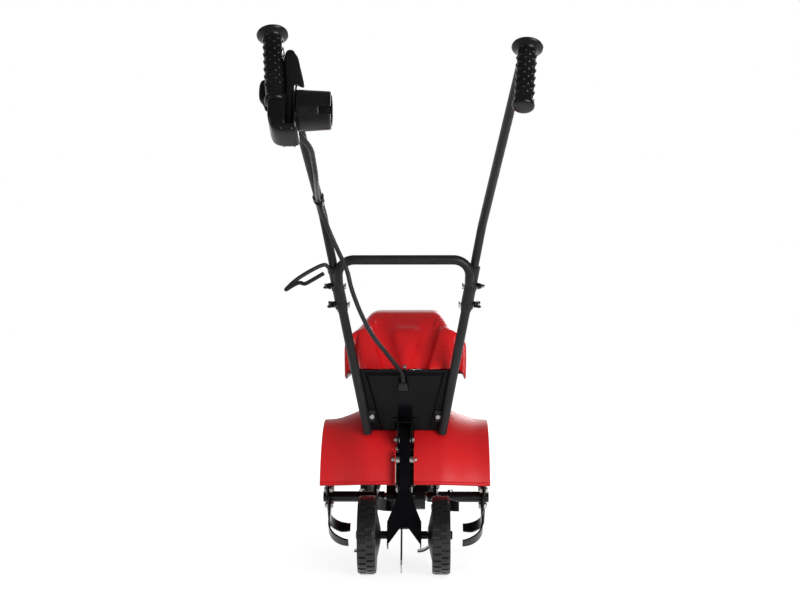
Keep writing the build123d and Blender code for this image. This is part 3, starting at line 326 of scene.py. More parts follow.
def add_piece(name, mesh, slot, body, replaced=()):
    """Links a new mesh as a visible piece that rides on a body."""
    piece = bpy.data.objects.new(name, mesh)
    bpy.context.scene.collection.objects.link(piece)
    mesh.materials.clear()
    mesh.materials.append(finishes[slot])
    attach(piece, body)
    if replaced:
        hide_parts(*replaced)
    return piece


# Everything from here to the floor is in millimetres from the tine shaft, unless it says otherwise.
def placed(point):
    """Millimetres from the tine shaft to metres in the frame."""
    return (point.x / 1000, point.y / 1000 + SHAFT_Y, point.z / 1000)


def mirrored(vector):
    return Vector((-vector.x, vector.y, vector.z))


def frame_of(way):
    """Two directions square to a third and to each other."""
    across = way.cross(Vector((0, 1, 0))).normalized()
    return across, way.cross(across).normalized()


def face_outward(mesh):
    bm = bmesh.new()
    bm.from_mesh(mesh)
    bmesh.ops.recalc_face_normals(bm, faces=bm.faces)
    bm.to_mesh(mesh)
    bm.free()


def merge(name, meshes):
    bm = bmesh.new()
    for mesh in meshes:
        bm.from_mesh(mesh)
    whole = bpy.data.meshes.new(name)
    bm.to_mesh(whole)
    bm.free()
    return whole


def turned(name, start, way, rows, count, relief=None):
    """Skin of rows (along, radius) turned about a line; relief raises it by angle and place."""
    across, over = frame_of(way)
    verts = []
    for along, radius in rows:
        for k in range(count):
            angle = 2 * math.pi * k / count
            far = radius + (relief(angle, along) if relief else 0)
            spoke = across * (far * math.cos(angle)) + over * (far * math.sin(angle))
            verts.append(placed(start + way * along + spoke))
    faces = []
    for row in range(len(rows) - 1):
        low = row * count
        for k in range(count):
            after = (k + 1) % count
            faces.append((low + k, low + count + k, low + count + after, low + after))
    mesh = bpy.data.meshes.new(name)
    mesh.from_pydata(verts, [], faces)
    mesh.shade_smooth()
    return mesh


def swept(name, points, radius, count=16):
    """Round bar along a line of points, closed at its ends."""
    verts = []
    across = None
    last = len(points) - 1
    for k, point in enumerate(points):
        way = (points[min(k + 1, last)] - points[max(k - 1, 0)]).normalized()
        if across is None:
            across = frame_of(way)[0]
        across = (across - way * across.dot(way)).normalized()
        over = way.cross(across)
        for j in range(count):
            angle = 2 * math.pi * j / count
            spoke = (across * math.cos(angle) + over * math.sin(angle)) * radius
            verts.append(placed(point + spoke))
    faces = [tuple(reversed(range(count))), tuple(last * count + j for j in range(count))]
    for k in range(last):
        low = k * count
        for j in range(count):
            after = (j + 1) % count
            faces.append((low + j, low + after, low + count + after, low + count + j))
    mesh = bpy.data.meshes.new(name)
    mesh.from_pydata(verts, [], faces)
    mesh.shade_smooth()
    return mesh


def bent(points, passes=3):
    """Open line of points with its corners cut, and cut again."""
    for _ in range(passes):
        line = [points[0]]
        for start, end in zip(points, points[1:]):
            line += [start * 0.75 + end * 0.25, start * 0.25 + end * 0.75]
        points = line + [points[-1]]
    return points


# Fields: distances on a grid, less than zero inside a shape
FIELD_OUTSIDE = 100.0


def both_sides(points):
    return points + [(-x, y) for x, y in reversed(points)]


def softened(points, passes=2):
    """Closed outline with its corners cut, and cut again."""
    for _ in range(passes):
        ring = []
        for start, end in zip(points, points[1:] + points[:1]):
            ring.append((0.75 * start[0] + 0.25 * end[0], 0.75 * start[1] + 0.25 * end[1]))
            ring.append((0.25 * start[0] + 0.75 * end[0], 0.25 * start[1] + 0.75 * end[1]))
        points = ring
    return points


def distance(points, u, v):
    """Field of a closed outline."""
    u = u[:, None]
    v = v[None, :]
    nearest = np.full((u.size, v.size), 1e9)
    inside = np.zeros(nearest.shape, dtype=bool)
    for (a, b), (c, d) in zip(points, points[1:] + points[:1]):
        run = (c - a) ** 2 + (d - b) ** 2
        along = np.clip(((u - a) * (c - a) + (v - b) * (d - b)) / run, 0, 1)
        gap = (u - a - along * (c - a)) ** 2 + (v - b - along * (d - b)) ** 2
        nearest = np.minimum(nearest, gap)
        if b != d:
            inside ^= ((b > v) != (d > v)) & (u < (c - a) * (v - b) / (d - b) + a)
    return np.where(inside, -1, 1) * np.sqrt(nearest)


def soft_max(a, b, blend):
    """The larger of two distances, with a rounded change from one to the other."""
    near = np.maximum(blend - np.abs(a - b), 0) / blend
    return np.maximum(a, b) + near * near * blend / 4


def block_field(x, y, z, low, high):
    """Field of a block between two corners."""
    gaps = [np.maximum(a - u, u - b) for u, a, b in zip((x, y, z), low, high)]
    flat = np.maximum(gaps[0][:, None, None], gaps[1][None, :, None])
    return np.maximum(flat, gaps[2][None, None, :])


def open_skin(name, field, corner, step, passes):
    """Smoothed skin of a field, as an empty mesh and the bmesh to fill it with."""
    grid = openvdb.FloatGrid(FIELD_OUTSIDE)
    grid.copyFromArray(field.astype(np.float32))
    points, quads = grid.convertToQuads(0.0)
    mesh = bpy.data.meshes.new(name)
    mesh.from_pydata((points * step + corner).tolist(), [], quads.tolist())
    bm = bmesh.new()
    bm.from_mesh(mesh)
    bmesh.ops.recalc_face_normals(bm, faces=bm.faces)
    axes = {"use_axis_x": True, "use_axis_y": True, "use_axis_z": True}
    for _ in range(passes):
        bmesh.ops.smooth_vert(bm, verts=bm.verts, factor=0.5, **axes)
    return mesh, bm


def close_skin(mesh, bm, place):
    for vert in bm.verts:
        vert.co = place(vert.co)
    bm.to_mesh(mesh)
    bm.free()
    mesh.shade_smooth()


# Hood: three outlines of its own, as the solid's is flatter at the rear, blended into one skin
HOOD_STEP = 2.5
HOOD_X = (-160.0, 161.0)
HOOD_Y = (-200.0, 216.0)
HOOD_Z = (410.0, 601.0)
HOOD_SLOPE = [
    (-230, 380), (-230, 437), (-192, 455), (-172, 465), (-152, 484), (-118, 526), (-104, 541),
    (-90, 548), (-74, 553), (-24, 579), (-6, 586), (40, 589),
]
HOOD_CROWN = [(78, 589), (108, 589), (124, 583), (152, 558), (190, 492), (260, 420), (260, 380)]
HOOD_WALLS = [(142, 380), (145, 495), (142, 516)]
HOOD_SHOULDER = [(128, 534), (112, 546), (103, 556), (96, 567), (87, 581), (74, 597), (56, 614)]
HOOD_FLANK = [(104, -159), (109, -146), (114, -104), (160, -115)]
FRONT_HALF = 160
FRONT_STEP = 10.0
FRONT_POINTS = 16
FRONT_MIDDLE = -17.7
FRONT_R = 221.7
TAIL_END = -190
TAIL_BOW = 30
TAIL_STEP = 12.0
TAIL_POINTS = 9
RIDGE_BLEND = 14.0
PLAN_BLEND = 12.0
# Troughs beside the bulge, eased toward it
VALLEY_START = (60, -99, 542.0)
VALLEY_END = (38, -163, 470.0)
VALLEY_R = 19.0
VALLEY_BLEND = 7.0
VALLEY_TOP = 556.0
VALLEY_EASE = 0.78
BULGE_BLEND = 20.0
# Openings, and how far past them faces are split
HOOD_WALL_METRES = 0.003
HOOD_SMOOTHING = 3
HOOD_LOW = 425.0
HOOD_LOW_PAST = 20
TUB_TOP = 431.0
TUB_HALF = 122
TUB_REAR = -62
TUB_REAR_PAST = 12
TAIL_LOW = 455.0
TAIL_LOW_PAST = 5
TAIL_START = -140
TAIL_START_PAST = 10
NOTCH_AT = (129, 449)
NOTCH_LEAN = (17, 14)
NOTCH_INNER = 105
NOTCH_PAST = 470
LOUVRES = 7
LOUVRE_LOW = 452.0
LOUVRE_HIGH = 482.0
LOUVRE_PAST = 9
LOUVRE_FIRST = -48.0
LOUVRE_PITCH = 14.5
LOUVRE_GAP = 7.0
LOUVRE_FACE = 150
LOUVRE_HALF = 60


def valley_field(x, y, z, sign):
    """Field of one trough, and where it lies on the bulge's side of its middle."""
    start = np.array((sign * VALLEY_START[0], VALLEY_START[1], VALLEY_START[2]))
    way = np.array((sign * VALLEY_END[0], VALLEY_END[1], VALLEY_END[2])) - start
    way /= np.linalg.norm(way)
    off = np.stack(np.meshgrid(x - start[0], y - start[1], z - start[2], indexing="ij"), -1)
    off -= (off @ way)[..., None] * way
    inner = sign * off[..., 0] < 0
    off[..., 0] = np.where(inner, off[..., 0] * VALLEY_EASE, off[..., 0])
    tube = np.linalg.norm(off, axis=-1) - VALLEY_R
    return soft_max(tube, (z - VALLEY_TOP)[None, None, :], VALLEY_BLEND), inner


def hood_field(x, y, z):
    side = distance(softened(HOOD_SLOPE + HOOD_CROWN), y, z)
    rear = distance(softened(both_sides(HOOD_WALLS + HOOD_SHOULDER)), x, z)
    across = [FRONT_HALF - FRONT_STEP * k for k in range(FRONT_POINTS)]
    front = [(u, FRONT_MIDDLE + math.sqrt(FRONT_R ** 2 - u ** 2)) for u in across]
    bows = [TAIL_BOW * (k / TAIL_POINTS) ** 2 for k in range(TAIL_POINTS)]
    tail = [(TAIL_STEP * k, TAIL_END + bow) for k, bow in enumerate(bows)]
    plan = distance(both_sides(tail + HOOD_FLANK + front)[:-1], x, y)
    field = soft_max(side[None, :, :], rear[:, None, :], RIDGE_BLEND)
    field = soft_max(field, plan[:, :, None], PLAN_BLEND)
    for sign in (1, -1):
        valley, inner = valley_field(x, y, z, sign)
        field = soft_max(field, -valley, np.where(inner, BULGE_BLEND, VALLEY_BLEND))
    return field


def slice_faces(bm, point, normal, chosen):
    """Splits the chosen faces along a plane."""
    faces = [face for face in bm.faces if chosen(face.calc_center_median())]
    edges = {edge for face in faces for edge in face.edges}
    verts = {vert for face in faces for vert in face.verts}
    geom = faces + list(edges) + list(verts)
    bmesh.ops.bisect_plane(bm, geom=geom, plane_co=point, plane_no=normal)


def cut_faces(bm, chosen):
    faces = [face for face in bm.faces if chosen(face.calc_center_median())]
    bmesh.ops.delete(bm, geom=faces, context="FACES")


def cut_hood_below(bm):
    """Opens the hood below, over the tub and where its tail lies on the rear panel."""
    up = (0, 0, 1)
    ahead = (0, 1, 0)

    def over_tub(c, rear):
        return abs(c.x) < TUB_HALF and c.y < rear

    past_tail = TAIL_START + TAIL_START_PAST
    past_tub = TUB_REAR + TUB_REAR_PAST
    past_low = TAIL_LOW + TAIL_LOW_PAST
    slice_faces(bm, (0, 0, HOOD_LOW), up, lambda c: c.z < HOOD_LOW + HOOD_LOW_PAST)
    cut_faces(bm, lambda c: c.z < HOOD_LOW)
    slice_faces(bm, (0, 0, TUB_TOP), up, lambda c: over_tub(c, TUB_REAR))
    slice_faces(bm, (0, 0, TAIL_LOW), up, lambda c: over_tub(c, past_tail))
    slice_faces(bm, (0, TAIL_START, 0), ahead, lambda c: over_tub(c, past_tail))
    slice_faces(bm, (0, TUB_REAR, 0), ahead, lambda c: c.z < past_low and c.y < past_tub)
    cut_faces(bm, lambda c: over_tub(c, TUB_REAR) and c.z < TUB_TOP)
    cut_faces(bm, lambda c: over_tub(c, TAIL_START) and c.z < TAIL_LOW)


def cut_hood_notch(bm, sign):
    """Cuts one rear corner off aslant."""
    x, z = NOTCH_AT
    lean_x, lean_z = NOTCH_LEAN

    def corner(c):
        return sign * c.x > NOTCH_INNER and c.y < TUB_REAR and c.z < NOTCH_PAST

    def below(c):
        return c.z < z and (sign * c.x - x) * lean_x + (c.z - z) * lean_z < 0

    slice_faces(bm, (sign * x, 0, z), (sign * lean_x, 0, lean_z), corner)
    slice_faces(bm, (0, 0, z), (0, 0, 1), corner)
    cut_faces(bm, lambda c: corner(c) and below(c))


def cut_hood_louvres(bm):
    low = LOUVRE_LOW - LOUVRE_PAST
    high = LOUVRE_HIGH + LOUVRE_PAST

    def front(c):
        return c.y > LOUVRE_FACE and low < c.z < high and abs(c.x) < LOUVRE_HALF

    def gap(c, left):
        tall = c.y > LOUVRE_FACE and LOUVRE_LOW < c.z < LOUVRE_HIGH
        return tall and 0 < c.x - left < LOUVRE_GAP

    for height in (LOUVRE_LOW, LOUVRE_HIGH):
        slice_faces(bm, (0, 0, height), (0, 0, 1), front)
    for k in range(LOUVRES):
        left = LOUVRE_FIRST + LOUVRE_PITCH * k
        for edge in (left, left + LOUVRE_GAP):
            slice_faces(bm, (edge, 0, 0), (1, 0, 0), front)
        cut_faces(bm, lambda c: gap(c, left))


def hood():
    x, y, z = (np.arange(*span, HOOD_STEP) for span in (HOOD_X, HOOD_Y, HOOD_Z))
    corner = (x[0], y[0], z[0])
    mesh, bm = open_skin("hood_skin", hood_field(x, y, z), corner, HOOD_STEP, HOOD_SMOOTHING)
    cut_hood_below(bm)
    for sign in (1, -1):
        cut_hood_notch(bm, sign)
    cut_hood_louvres(bm)
    close_skin(mesh, bm, placed)
    piece = add_piece("hood_moulding", mesh, "hood_red", "frame", ["hood"])
    wall = piece.modifiers.new("wall", "SOLIDIFY")
    wall.thickness = HOOD_WALL_METRES
    wall.offset = -1.0


# Lines of the handle, as the solids have them
LEG_AT = Vector((87.0, -138.0, 308.0))
LEG_RISE = Vector((0.1795, -0.4252, 1.0))
SLEEVE_R = 13.6
LEFT_RAISE = mirrored(LEG_RISE).normalized() * 25.0
GRIP_WAY = Vector((-0.0916, -0.458, -0.8842)).normalized()
RIGHT_CORNER = Vector((238.0, -760.0, 1103.0))
LEFT_CORNER = Vector((232.0, -760.0, 1103.0))

# Grips: rows of (along, radius) for the flange, and from the end back for the end
GRIP_START = 24.0
GRIP_LENGTH = 140.0
GRIP_SUNK = 19.0
GRIP_R = 17.7
GRIP_BORE_R = 9.6
GRIP_FLANGE = [
    (0, GRIP_BORE_R), (0, 19.0), (0.4, 26.0), (1.6, 28.8), (3.4, 29.5), (5.2, 28.9), (7.0, 26.4),
    (9.4, 22.2), (11.4, 19.4), (13.4, 18.1), (15.5, GRIP_R),
]
GRIP_END = [
    (-14.5, 18.3), (-12, 19.8), (-9.5, 20.6), (-6, 20.8), (-3.4, 20.2), (-1.4, 18.4), (-0.3, 15.4),
    (0, 9.0), (0, 0.3),
]
GRIP_BARE = 17.0
GRIP_ROW = 1.1
GRIP_AROUND = 96
NUB_ROWS = 13
NUBS_AROUND = 7
NUB_FIRST = 21.0
NUB_PITCH = 8.3
NUB_R = 3.0
NUB_HIGH = 1.9


def nubs(angle, along):
    """Height of the staggered round nubs over a grip's barrel."""
    row = round((along - NUB_FIRST) / NUB_PITCH)
    if not 0 <= row < NUB_ROWS:
        return 0.0
    step = 2 * math.pi / NUBS_AROUND
    turn = angle / step - 0.5 * (row % 2)
    side = (turn - round(turn)) * step * GRIP_R
    off = math.hypot(side, along - NUB_FIRST - NUB_PITCH * row) / NUB_R
    return NUB_HIGH * math.sqrt(max(0.0, 1 - off * off))


def grip(name, start, way, length, node):
    """Rubber grip: domed flange, nubbed barrel, rounded and closed end."""
    barrel = length - 2 * GRIP_BARE
    steps = round(barrel / GRIP_ROW)
    rows = GRIP_FLANGE + [(GRIP_BARE + barrel * k / steps, GRIP_R) for k in range(steps + 1)]
    rows += [(length + along, radius) for along, radius in GRIP_END]
    mesh = turned(name, start, way, rows, GRIP_AROUND, nubs)
    add_piece(name, mesh, "grip_rubber", "frame", [node])


def grips():
    start = RIGHT_CORNER + GRIP_WAY * GRIP_START
    grip("right_grip_rubber", start, GRIP_WAY, GRIP_LENGTH, "grip_right")
    start = mirrored(LEFT_CORNER + GRIP_WAY * GRIP_START) + LEFT_RAISE
    grip("left_grip_rubber", start, mirrored(GRIP_WAY), GRIP_LENGTH + GRIP_SUNK, "grip_left")


# Wing nuts and saddles on the sleeves; outlines are (along the bolt, from its middle)
BOLT_HEIGHTS = (604.0, 645.0)
NUT_TURNS = (1.9, 1.5, 1.25, 1.35)
NUT_SEAT = SLEEVE_R + 1.6
NUT_AROUND = 24
NUT_HUB = [
    (0, 3.2), (0, 7.2), (0.8, 7.6), (3.0, 7.4), (7.0, 6.0), (9.2, 5.4), (9.8, 4.6), (9.8, 3.2),
]
WING_OUTLINE = [
    (1.5, 4), (2.0, 10), (4.5, 15), (9.0, 18.5), (13.5, 18.5), (15.5, 15), (13.5, 10), (9.0, 4),
]
WING_THICK = 3.6
SADDLE_COLUMNS = 15
SADDLE_HALF = 7.0
SADDLE_SPREAD = 84
SADDLE_RADII = (SLEEVE_R + 0.15, SLEEVE_R + 1.5)


def wing(start, way, turn):
    """Rounded plate that stands on a nut's hub."""
    across, over = frame_of(way)
    lean = across * math.cos(turn) + over * math.sin(turn)
    flat = way.cross(lean)
    count = len(WING_OUTLINE)
    verts = []
    for half in (-0.5, 0.5):
        face = start + flat * (half * WING_THICK)
        verts += [placed(face + way * along + lean * far) for along, far in WING_OUTLINE]
    faces = [tuple(reversed(range(count))), tuple(range(count, 2 * count))]
    faces += [(k, (k + 1) % count, count + (k + 1) % count, count + k) for k in range(count)]
    mesh = bpy.data.meshes.new("wing")
    mesh.from_pydata(verts, [], faces)
    bm = bmesh.new()
    bm.from_mesh(mesh)
    bmesh.ops.subdivide_edges(bm, edges=bm.edges, cuts=1, use_grid_fill=True, smooth=0.6)
    bm.to_mesh(mesh)
    bm.free()
    mesh.shade_smooth()
    return mesh


def saddle(at, way, side):
    """Pressed washer that hugs the sleeve under a nut."""
    out = Vector((side, 0, 0))
    out = (out - way * out.dot(way)).normalized()
    across = way.cross(out)
    last = SADDLE_COLUMNS - 1
    verts = []
    for radius in SADDLE_RADII:
        for along in (-SADDLE_HALF, SADDLE_HALF):
            for k in range(SADDLE_COLUMNS):
                angle = math.radians(-SADDLE_SPREAD + 2 * SADDLE_SPREAD * k / last)
                spoke = (out * math.cos(angle) + across * math.sin(angle)) * radius
                verts.append(placed(at + way * along + spoke))
    rings = [0, SADDLE_COLUMNS, 3 * SADDLE_COLUMNS, 2 * SADDLE_COLUMNS]
    faces = []
    for k in range(last):
        for low, high in zip(rings, rings[1:] + rings[:1]):
            faces.append((low + k, low + k + 1, high + k + 1, high + k))
    faces += [tuple(rings), tuple(ring + last for ring in reversed(rings))]
    mesh = bpy.data.meshes.new("saddle")
    mesh.from_pydata(verts, [], faces)
    face_outward(mesh)
    return mesh


def on_leg(side, height):
    """Point on a leg's middle line, and the line's direction."""
    way = LEG_RISE if side > 0 else mirrored(LEG_RISE)
    foot = LEG_AT if side > 0 else mirrored(LEG_AT)
    return foot + way * (height - LEG_AT.z), way.normalized()


def sleeve_hardware():
    nuts = []
    saddles = []
    turns = iter(NUT_TURNS)
    for side in (1, -1):
        out = Vector((side, 0, 0))
        for height in BOLT_HEIGHTS:
            at, way = on_leg(side, height)
            seat = at + out * NUT_SEAT
            turn = next(turns)
            nuts.append(turned("hub", seat, out, NUT_HUB, NUT_AROUND))
            nuts += [wing(seat, out, turn), wing(seat, out, turn + math.pi)]
            saddles.append(saddle(at, way, side))
    nut_mesh = merge("wing_nut_mouldings", nuts)
    add_piece("wing_nut_mouldings", nut_mesh, "trim_black", "frame", ["wing_nuts"])
    add_piece("sleeve_saddles", merge("sleeve_saddles", saddles), "tube_black", "frame")


# Switch box: x across, y to the operator and z down the grip, from BOX_DEPTH ahead of the bar's end
BOX_DEPTH = 19.0
BOX_STEP = 1.25
BOX_SMOOTHING = 2
BOX_X = (-20.0, 51.0)
BOX_Y = (-40.0, 41.0)
BOX_Z = (-26.0, 91.0)
BOX_OUTLINE = [
    (34.9, 2), (2, 2), (-12, 2), (-12, 14), (-12, 56), (1, 80),
    (43, 80), (43, 64), (39.5, 56), (39.5, -10), (39.5, -19), (34.9, -19),
]
BOX_PROFILE = [
    (-33, -60), (33, -60), (33, 10), (33, 50), (29, 66), (19, 77), (4, 81), (-20, 84), (-33, 84),
]
BOX_BLEND = 7.0
LEVER_SLOT = ((20.3, -9, -60), (34.7, 60, 65))
LEVER_SLOT_BLEND = 2.5
SWITCH_ROOM = ((14, -30, 5), (36.5, -8, 65))
LOCK_X = (-40.0, 9.0)
LOCK_Y = (-18.0, 9.0)
LOCK_Z = (-58.0, 23.0)
LOCK_PAD = [
    (-14, -50), (-26, -52), (-34, -45), (-34, -16), (-31, -4), (-24, 4), (-20.5, 17), (-14, 17),
]
LOCK_HALF = 7
LOCK_BLEND = 8.0
STEM_AT = (-5.0, 9.5)
STEM_R = 4.9
STEM_SPAN = (-18, 3)
STEM_BORE_R = 5.4
STEM_BORE_END = 8
# Lever rows: z, the flange's step back, its step under the grip, left edge, right edge, wing's edge
LEVER_ROWS = [
    (62, 3, 0, (21.5, 12), (33.5, 12), None),
    (30, 3, 0, (21.3, 18), (33.7, 18), None),
    (4, 3, 0, (21.2, 22.5), (34, 22.5), None),
    (-14, 9, 1, (19.4, 24.8), (34, 24.8), None),
    (-21, 14, 4.5, (18.6, 25.8), (34.4, 25.8), (50.5, 7)),
    (-30, 14, 4.5, (17.8, 26.4), (34.5, 26.4), (51.5, 8)),
    (-47, 14, 4.5, (16.3, 27.6), (34.5, 27.6), (47, 11)),
    (-66, 14, 4.5, (14.6, 29), (34.3, 29), (41.5, 18)),
    (-83, 12, 4, (14.4, 30.4), (33.6, 30.4), (36.5, 26)),
    (-93, 3, 0, (19.5, 31), (30.5, 31), None),
]
LEVER_THICK_METRES = 0.006
LEVER_SUBDIVISIONS = 2

BOX_WAY = Vector((0, GRIP_WAY.y, GRIP_WAY.z)).normalized()
BOX_NEAR = BOX_WAY.cross(Vector((1, 0, 0)))
BAR_END = mirrored(LEFT_CORNER + GRIP_WAY * (GRIP_START + GRIP_LENGTH)) + LEFT_RAISE


def in_box(point):
    """Point in the switch box's own directions to metres in the frame."""
    start = BAR_END - BOX_NEAR * BOX_DEPTH
    return placed(start + Vector((point[0], 0, 0)) + BOX_NEAR * point[1] + BOX_WAY * point[2])


def stem_field(y, z, radius):
    """Field of a round bar across the box, where the lock-off button's stem runs."""
    return np.hypot((y - STEM_AT[0])[:, None], (z - STEM_AT[1])[None, :])[None, :, :] - radius


def box_moulding(name, corner, field, body, replaced):
    mesh, bm = open_skin(name, field, corner, BOX_STEP, BOX_SMOOTHING)
    close_skin(mesh, bm, in_box)
    add_piece(name, mesh, "switch_black", body, replaced)


def switch_box():
    """Housing and cover as one rounded moulding, with the lever's slot and the room inside."""
    x, y, z = (np.arange(*span, BOX_STEP) for span in (BOX_X, BOX_Y, BOX_Z))
    field = distance(softened(BOX_OUTLINE), x, z)[:, None, :]
    field = soft_max(field, distance(softened(BOX_PROFILE), y, z)[None, :, :], BOX_BLEND)
    field = soft_max(field, -block_field(x, y, z, *LEVER_SLOT), LEVER_SLOT_BLEND)
    field = np.maximum(field, -block_field(x, y, z, *SWITCH_ROOM))
    bore = np.maximum(stem_field(y, z, STEM_BORE_R), (x - STEM_BORE_END)[:, None, None])
    field = np.maximum(field, -bore)
    replaced = ["switch_housing", "switch_cover"]
    box_moulding("switch_box_moulding", (x[0], y[0], z[0]), field, "frame", replaced)


def lock_button():
    """Rounded pad beside the grip, on its stem in the box."""
    x, y, z = (np.arange(*span, BOX_STEP) for span in (LOCK_X, LOCK_Y, LOCK_Z))
    field = distance(softened(LOCK_PAD), x, z)[:, None, :]
    field = soft_max(field, (np.abs(y - STEM_AT[0]) - LOCK_HALF)[None, :, None], LOCK_BLEND)
    ends = np.maximum(STEM_SPAN[0] - x, x - STEM_SPAN[1])[:, None, None]
    field = np.minimum(field, np.maximum(stem_field(y, z, STEM_R), ends))
    corner = (x[0], y[0], z[0])
    box_moulding("lock_button_moulding", corner, field, "lock_button", ["lock_button"])


def lever_moulding():
    """Safety lever with its wing and a flange behind the grip."""
    verts = []
    faces = []
    before = None
    for along, back, under, left, right, edge in LEVER_ROWS:
        row = []
        flange = (left[0] - under, left[1] - 2 * back), (left[0], left[1] - back)
        for side in flange + (left, right, edge):
            if side:
                row.append(len(verts))
                verts.append(in_box((side[0], side[1], along)))
        if before:
            for k in range(min(len(row), len(before)) - 1):
                faces.append((before[k], before[k + 1], row[k + 1], row[k]))
        before = row
    mesh = bpy.data.meshes.new("lever_moulding")
    mesh.from_pydata(verts, [], faces)
    face_outward(mesh)
    mesh.shade_smooth()
    piece = add_piece("lever_moulding", mesh, "switch_black", "lever", ["switch_lever"])
    wall = piece.modifiers.new("wall", "SOLIDIFY")
    wall.thickness = LEVER_THICK_METRES
    wall.offset = 0.0
    soft = piece.modifiers.new("soft", "SUBSURF")
    soft.levels = LEVER_SUBDIVISIONS
    soft.render_levels = LEVER_SUBDIVISIONS


# Guard trim: the guard is turned about a line at GUARD_Z. Its edge is (across, drop of the radius).
GUARD_Z = 150.0
GUARD_R = 200.0
GUARD_REAR = math.radians(12.0)
GUARD_EDGE = [
    (21, 0), (80, 0), (95, 2), (109, 5), (122, 10), (134, 15), (147, 20), (160, 24), (178, 26.4),
    (196, 28),
]
HEM_R = 4.4
HEM_OUT = 1.0
HEM_TURN = 0.016
HEM_PASSES = 2
SEAM_HALF = 20.8
SEAM_RADII = (187.0, 185.0)
SEAM_TURN = math.radians(24.0)
SEAM_STEPS = 12


def on_guard(x, radius, angle):
    """Point at a radius about the line that the guard is turned about."""
    return Vector((x, -radius * math.cos(angle), GUARD_Z + radius * math.sin(angle)))


def guard_hems():
    """Rolled lower edge of each guard half."""
    hems = []
    angle = GUARD_REAR + HEM_TURN
    for side in (1, -1):
        line = [on_guard(side * x, GUARD_R + HEM_OUT - drop, angle) for x, drop in GUARD_EDGE]
        hems.append(swept("hem", bent(line, HEM_PASSES), HEM_R))
    add_piece("guard_hems", merge("guard_hems", hems), "guard_red", "frame")


def guard_seam():
    """Bowed strip that closes the slot between the guard halves behind the strut."""
    verts = []
    for radius in SEAM_RADII:
        for k in range(SEAM_STEPS + 1):
            angle = GUARD_REAR + SEAM_TURN * k / SEAM_STEPS
            verts += [placed(on_guard(x, radius, angle)) for x in (-SEAM_HALF, SEAM_HALF)]
    inner = 2 * (SEAM_STEPS + 1)
    faces = []
    for k in range(SEAM_STEPS):
        a = 2 * k
        b = inner + a
        faces += [(a, a + 1, a + 3, a + 2), (b, b + 2, b + 3, b + 1)]
        faces += [(a, a + 2, b + 2, b), (a + 1, b + 1, b + 3, a + 3)]
    top = 2 * SEAM_STEPS
    faces += [(0, inner, inner + 1, 1), (top, top + 1, inner + top + 1, inner + top)]
    mesh = bpy.data.meshes.new("guard_seam")
    mesh.from_pydata(verts, [], faces)
    face_outward(mesh)
    add_piece("guard_seam", mesh, "trim_black", "frame")


# Cord hook on the left sleeve
HOOK_LINE = [
    (-166, -309, 686), (-174, -313, 694), (-204, -319, 679), (-236, -325, 659), (-257, -331, 638),
    (-257, -338, 636), (-241, -343, 646), (-226, -345, 653), (-216, -346, 648), (-206, -347, 653),
    (-173, -350, 672),
]
HOOK_R = 4.4
HOOK_HEIGHT = 683.0


def cord_hook():
    """Bent wire on its saddle round the left sleeve."""
    line = bent([Vector(point) for point in HOOK_LINE])
    at, way = on_leg(-1, HOOK_HEIGHT)
    parts = [swept("wire", line, HOOK_R), saddle(at, way, -1)]
    add_piece("hook_wire", merge("hook_wire", parts), "tube_black", "frame", ["cord_hook"])


hood()
grips()
sleeve_hardware()
switch_box()
lock_button()
lever_moulding()
guard_hems()
guard_seam()
cord_hook()


def floor():
    """Large pale floor: it glows to white where it is looked at, and its shadow stays."""
    mesh = bpy.data.meshes.new("floor")
    corners = [(-1, -1), (1, -1), (1, 1), (-1, 1)]
    mesh.from_pydata([(FLOOR_HALF * x, FLOOR_HALF * y, 0) for x, y in corners], [], [(0, 1, 2, 3)])
    plate = bpy.data.objects.new("floor", mesh)
    bpy.context.scene.collection.objects.link(plate)
    g = Graph("floor")
    g.set(Base_Color=FLOOR_WHITE, Roughness=0.9, Specular_IOR_Level=0.1, Emission_Color=WHITE)
    glow = g.mapped(g.length(g.coords), GLOW_SPAN, (FLOOR_GLOW, 1.0))
    paper = g.mapped(g.axes(g.coords)["Y"], PAPER_SPAN)
    path = g.add("ShaderNodeLightPath").outputs
    reflected = g.calc("MAXIMUM", path["Is Glossy Ray"], path["Is Transmission Ray"])
    seen = g.calc("MAXIMUM", path["Is Camera Ray"], g.calc("MULTIPLY", reflected, paper))
    g.link(g.calc("MULTIPLY", glow, seen), g.shader.inputs["Emission Strength"])
    mesh.materials.append(g.material)


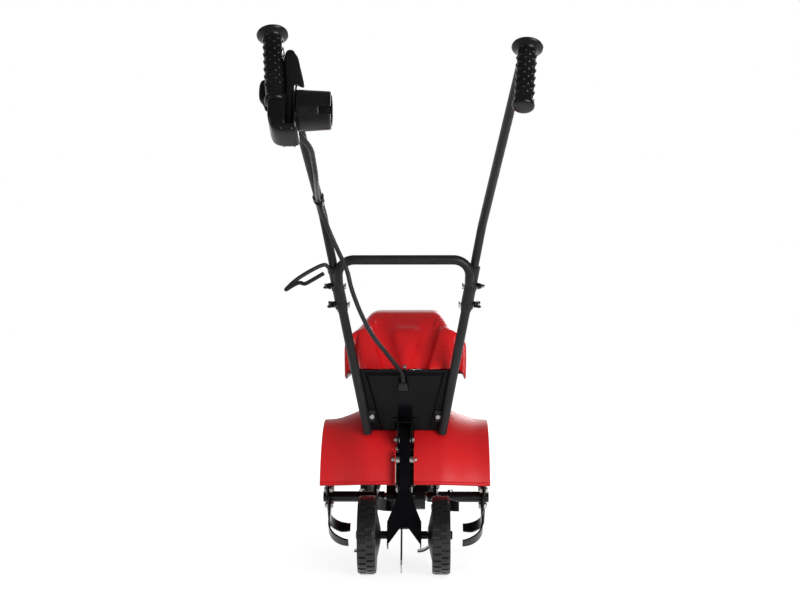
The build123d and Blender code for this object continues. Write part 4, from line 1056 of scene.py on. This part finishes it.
def world():
    """Soft room light; white to the camera, and in reflections white on the backdrop's side."""
    sky = bpy.data.worlds.new("studio")
    bpy.context.scene.world = sky
    sky.use_nodes = True
    g = Tree(sky.node_tree)
    coords = g.add("ShaderNodeTexCoord").outputs["Generated"]
    above = g.add("ShaderNodeVectorMath", operation="DOT_PRODUCT")
    above.inputs[1].default_value = CEILING_WAY
    g.link(coords, above.inputs[0])
    levels = (ROOM_LIGHT, CEILING_LIGHT)
    ceiling = g.mapped(above.outputs["Value"], (0.0, 1.0), levels, "SMOOTHSTEP")
    light = g.tree.nodes["Background"]
    light.inputs["Color"].default_value = WHITE
    g.link(ceiling, light.inputs["Strength"])
    split = g.axes(coords)
    low = g.calc("SUBTRACT", split["Y"], split["Z"])
    backdrop = g.add("ShaderNodeBackground", Color=WHITE)
    levels = (ROOM_MIRRORED, 1.0)
    g.link(g.mapped(low, BACKDROP_SPAN, levels, "SMOOTHSTEP"), backdrop.inputs["Strength"])
    seen = g.add("ShaderNodeBackground", Color=WHITE, Strength=1.0)
    path = g.add("ShaderNodeLightPath").outputs
    reflected = g.calc("MAXIMUM", path["Is Glossy Ray"], path["Is Transmission Ray"])
    inner = g.add("ShaderNodeMixShader")
    g.link(reflected, inner.inputs["Fac"])
    g.link(light.outputs["Background"], inner.inputs[1])
    g.link(backdrop.outputs["Background"], inner.inputs[2])
    outer = g.add("ShaderNodeMixShader")
    g.link(path["Is Camera Ray"], outer.inputs["Fac"])
    g.link(inner.outputs["Shader"], outer.inputs[1])
    g.link(seen.outputs["Background"], outer.inputs[2])
    g.link(outer.outputs["Shader"], g.tree.nodes["World Output"].inputs["Surface"])


def lamp(name, at, size, power):
    data = bpy.data.lights.new(name, "AREA")
    data.shape = "RECTANGLE"
    data.size = size[0]
    data.size_y = size[1]
    data.energy = power
    lamp_object = bpy.data.objects.new(name, data)
    bpy.context.scene.collection.objects.link(lamp_object)
    lamp_object.location = at
    lamp_object.visible_camera = False
    way = Vector(LAMP_AIM) - Vector(at)
    lamp_object.rotation_euler = way.to_track_quat("-Z", "Y").to_euler()


def camera():
    data = bpy.data.cameras.new("camera")
    data.lens = CAMERA_LENS
    data.sensor_width = SENSOR_WIDTH
    data.sensor_fit = "HORIZONTAL"
    view = bpy.data.objects.new("camera", data)
    bpy.context.scene.collection.objects.link(view)
    view.location = CAMERA_AT
    view.rotation_euler = (math.pi / 2, 0, CAMERA_YAW)
    bpy.context.scene.camera = view


floor()
world()
for entry in LAMPS:
    lamp(*entry)
camera()
bpy.context.scene.view_settings.view_transform = "Standard"
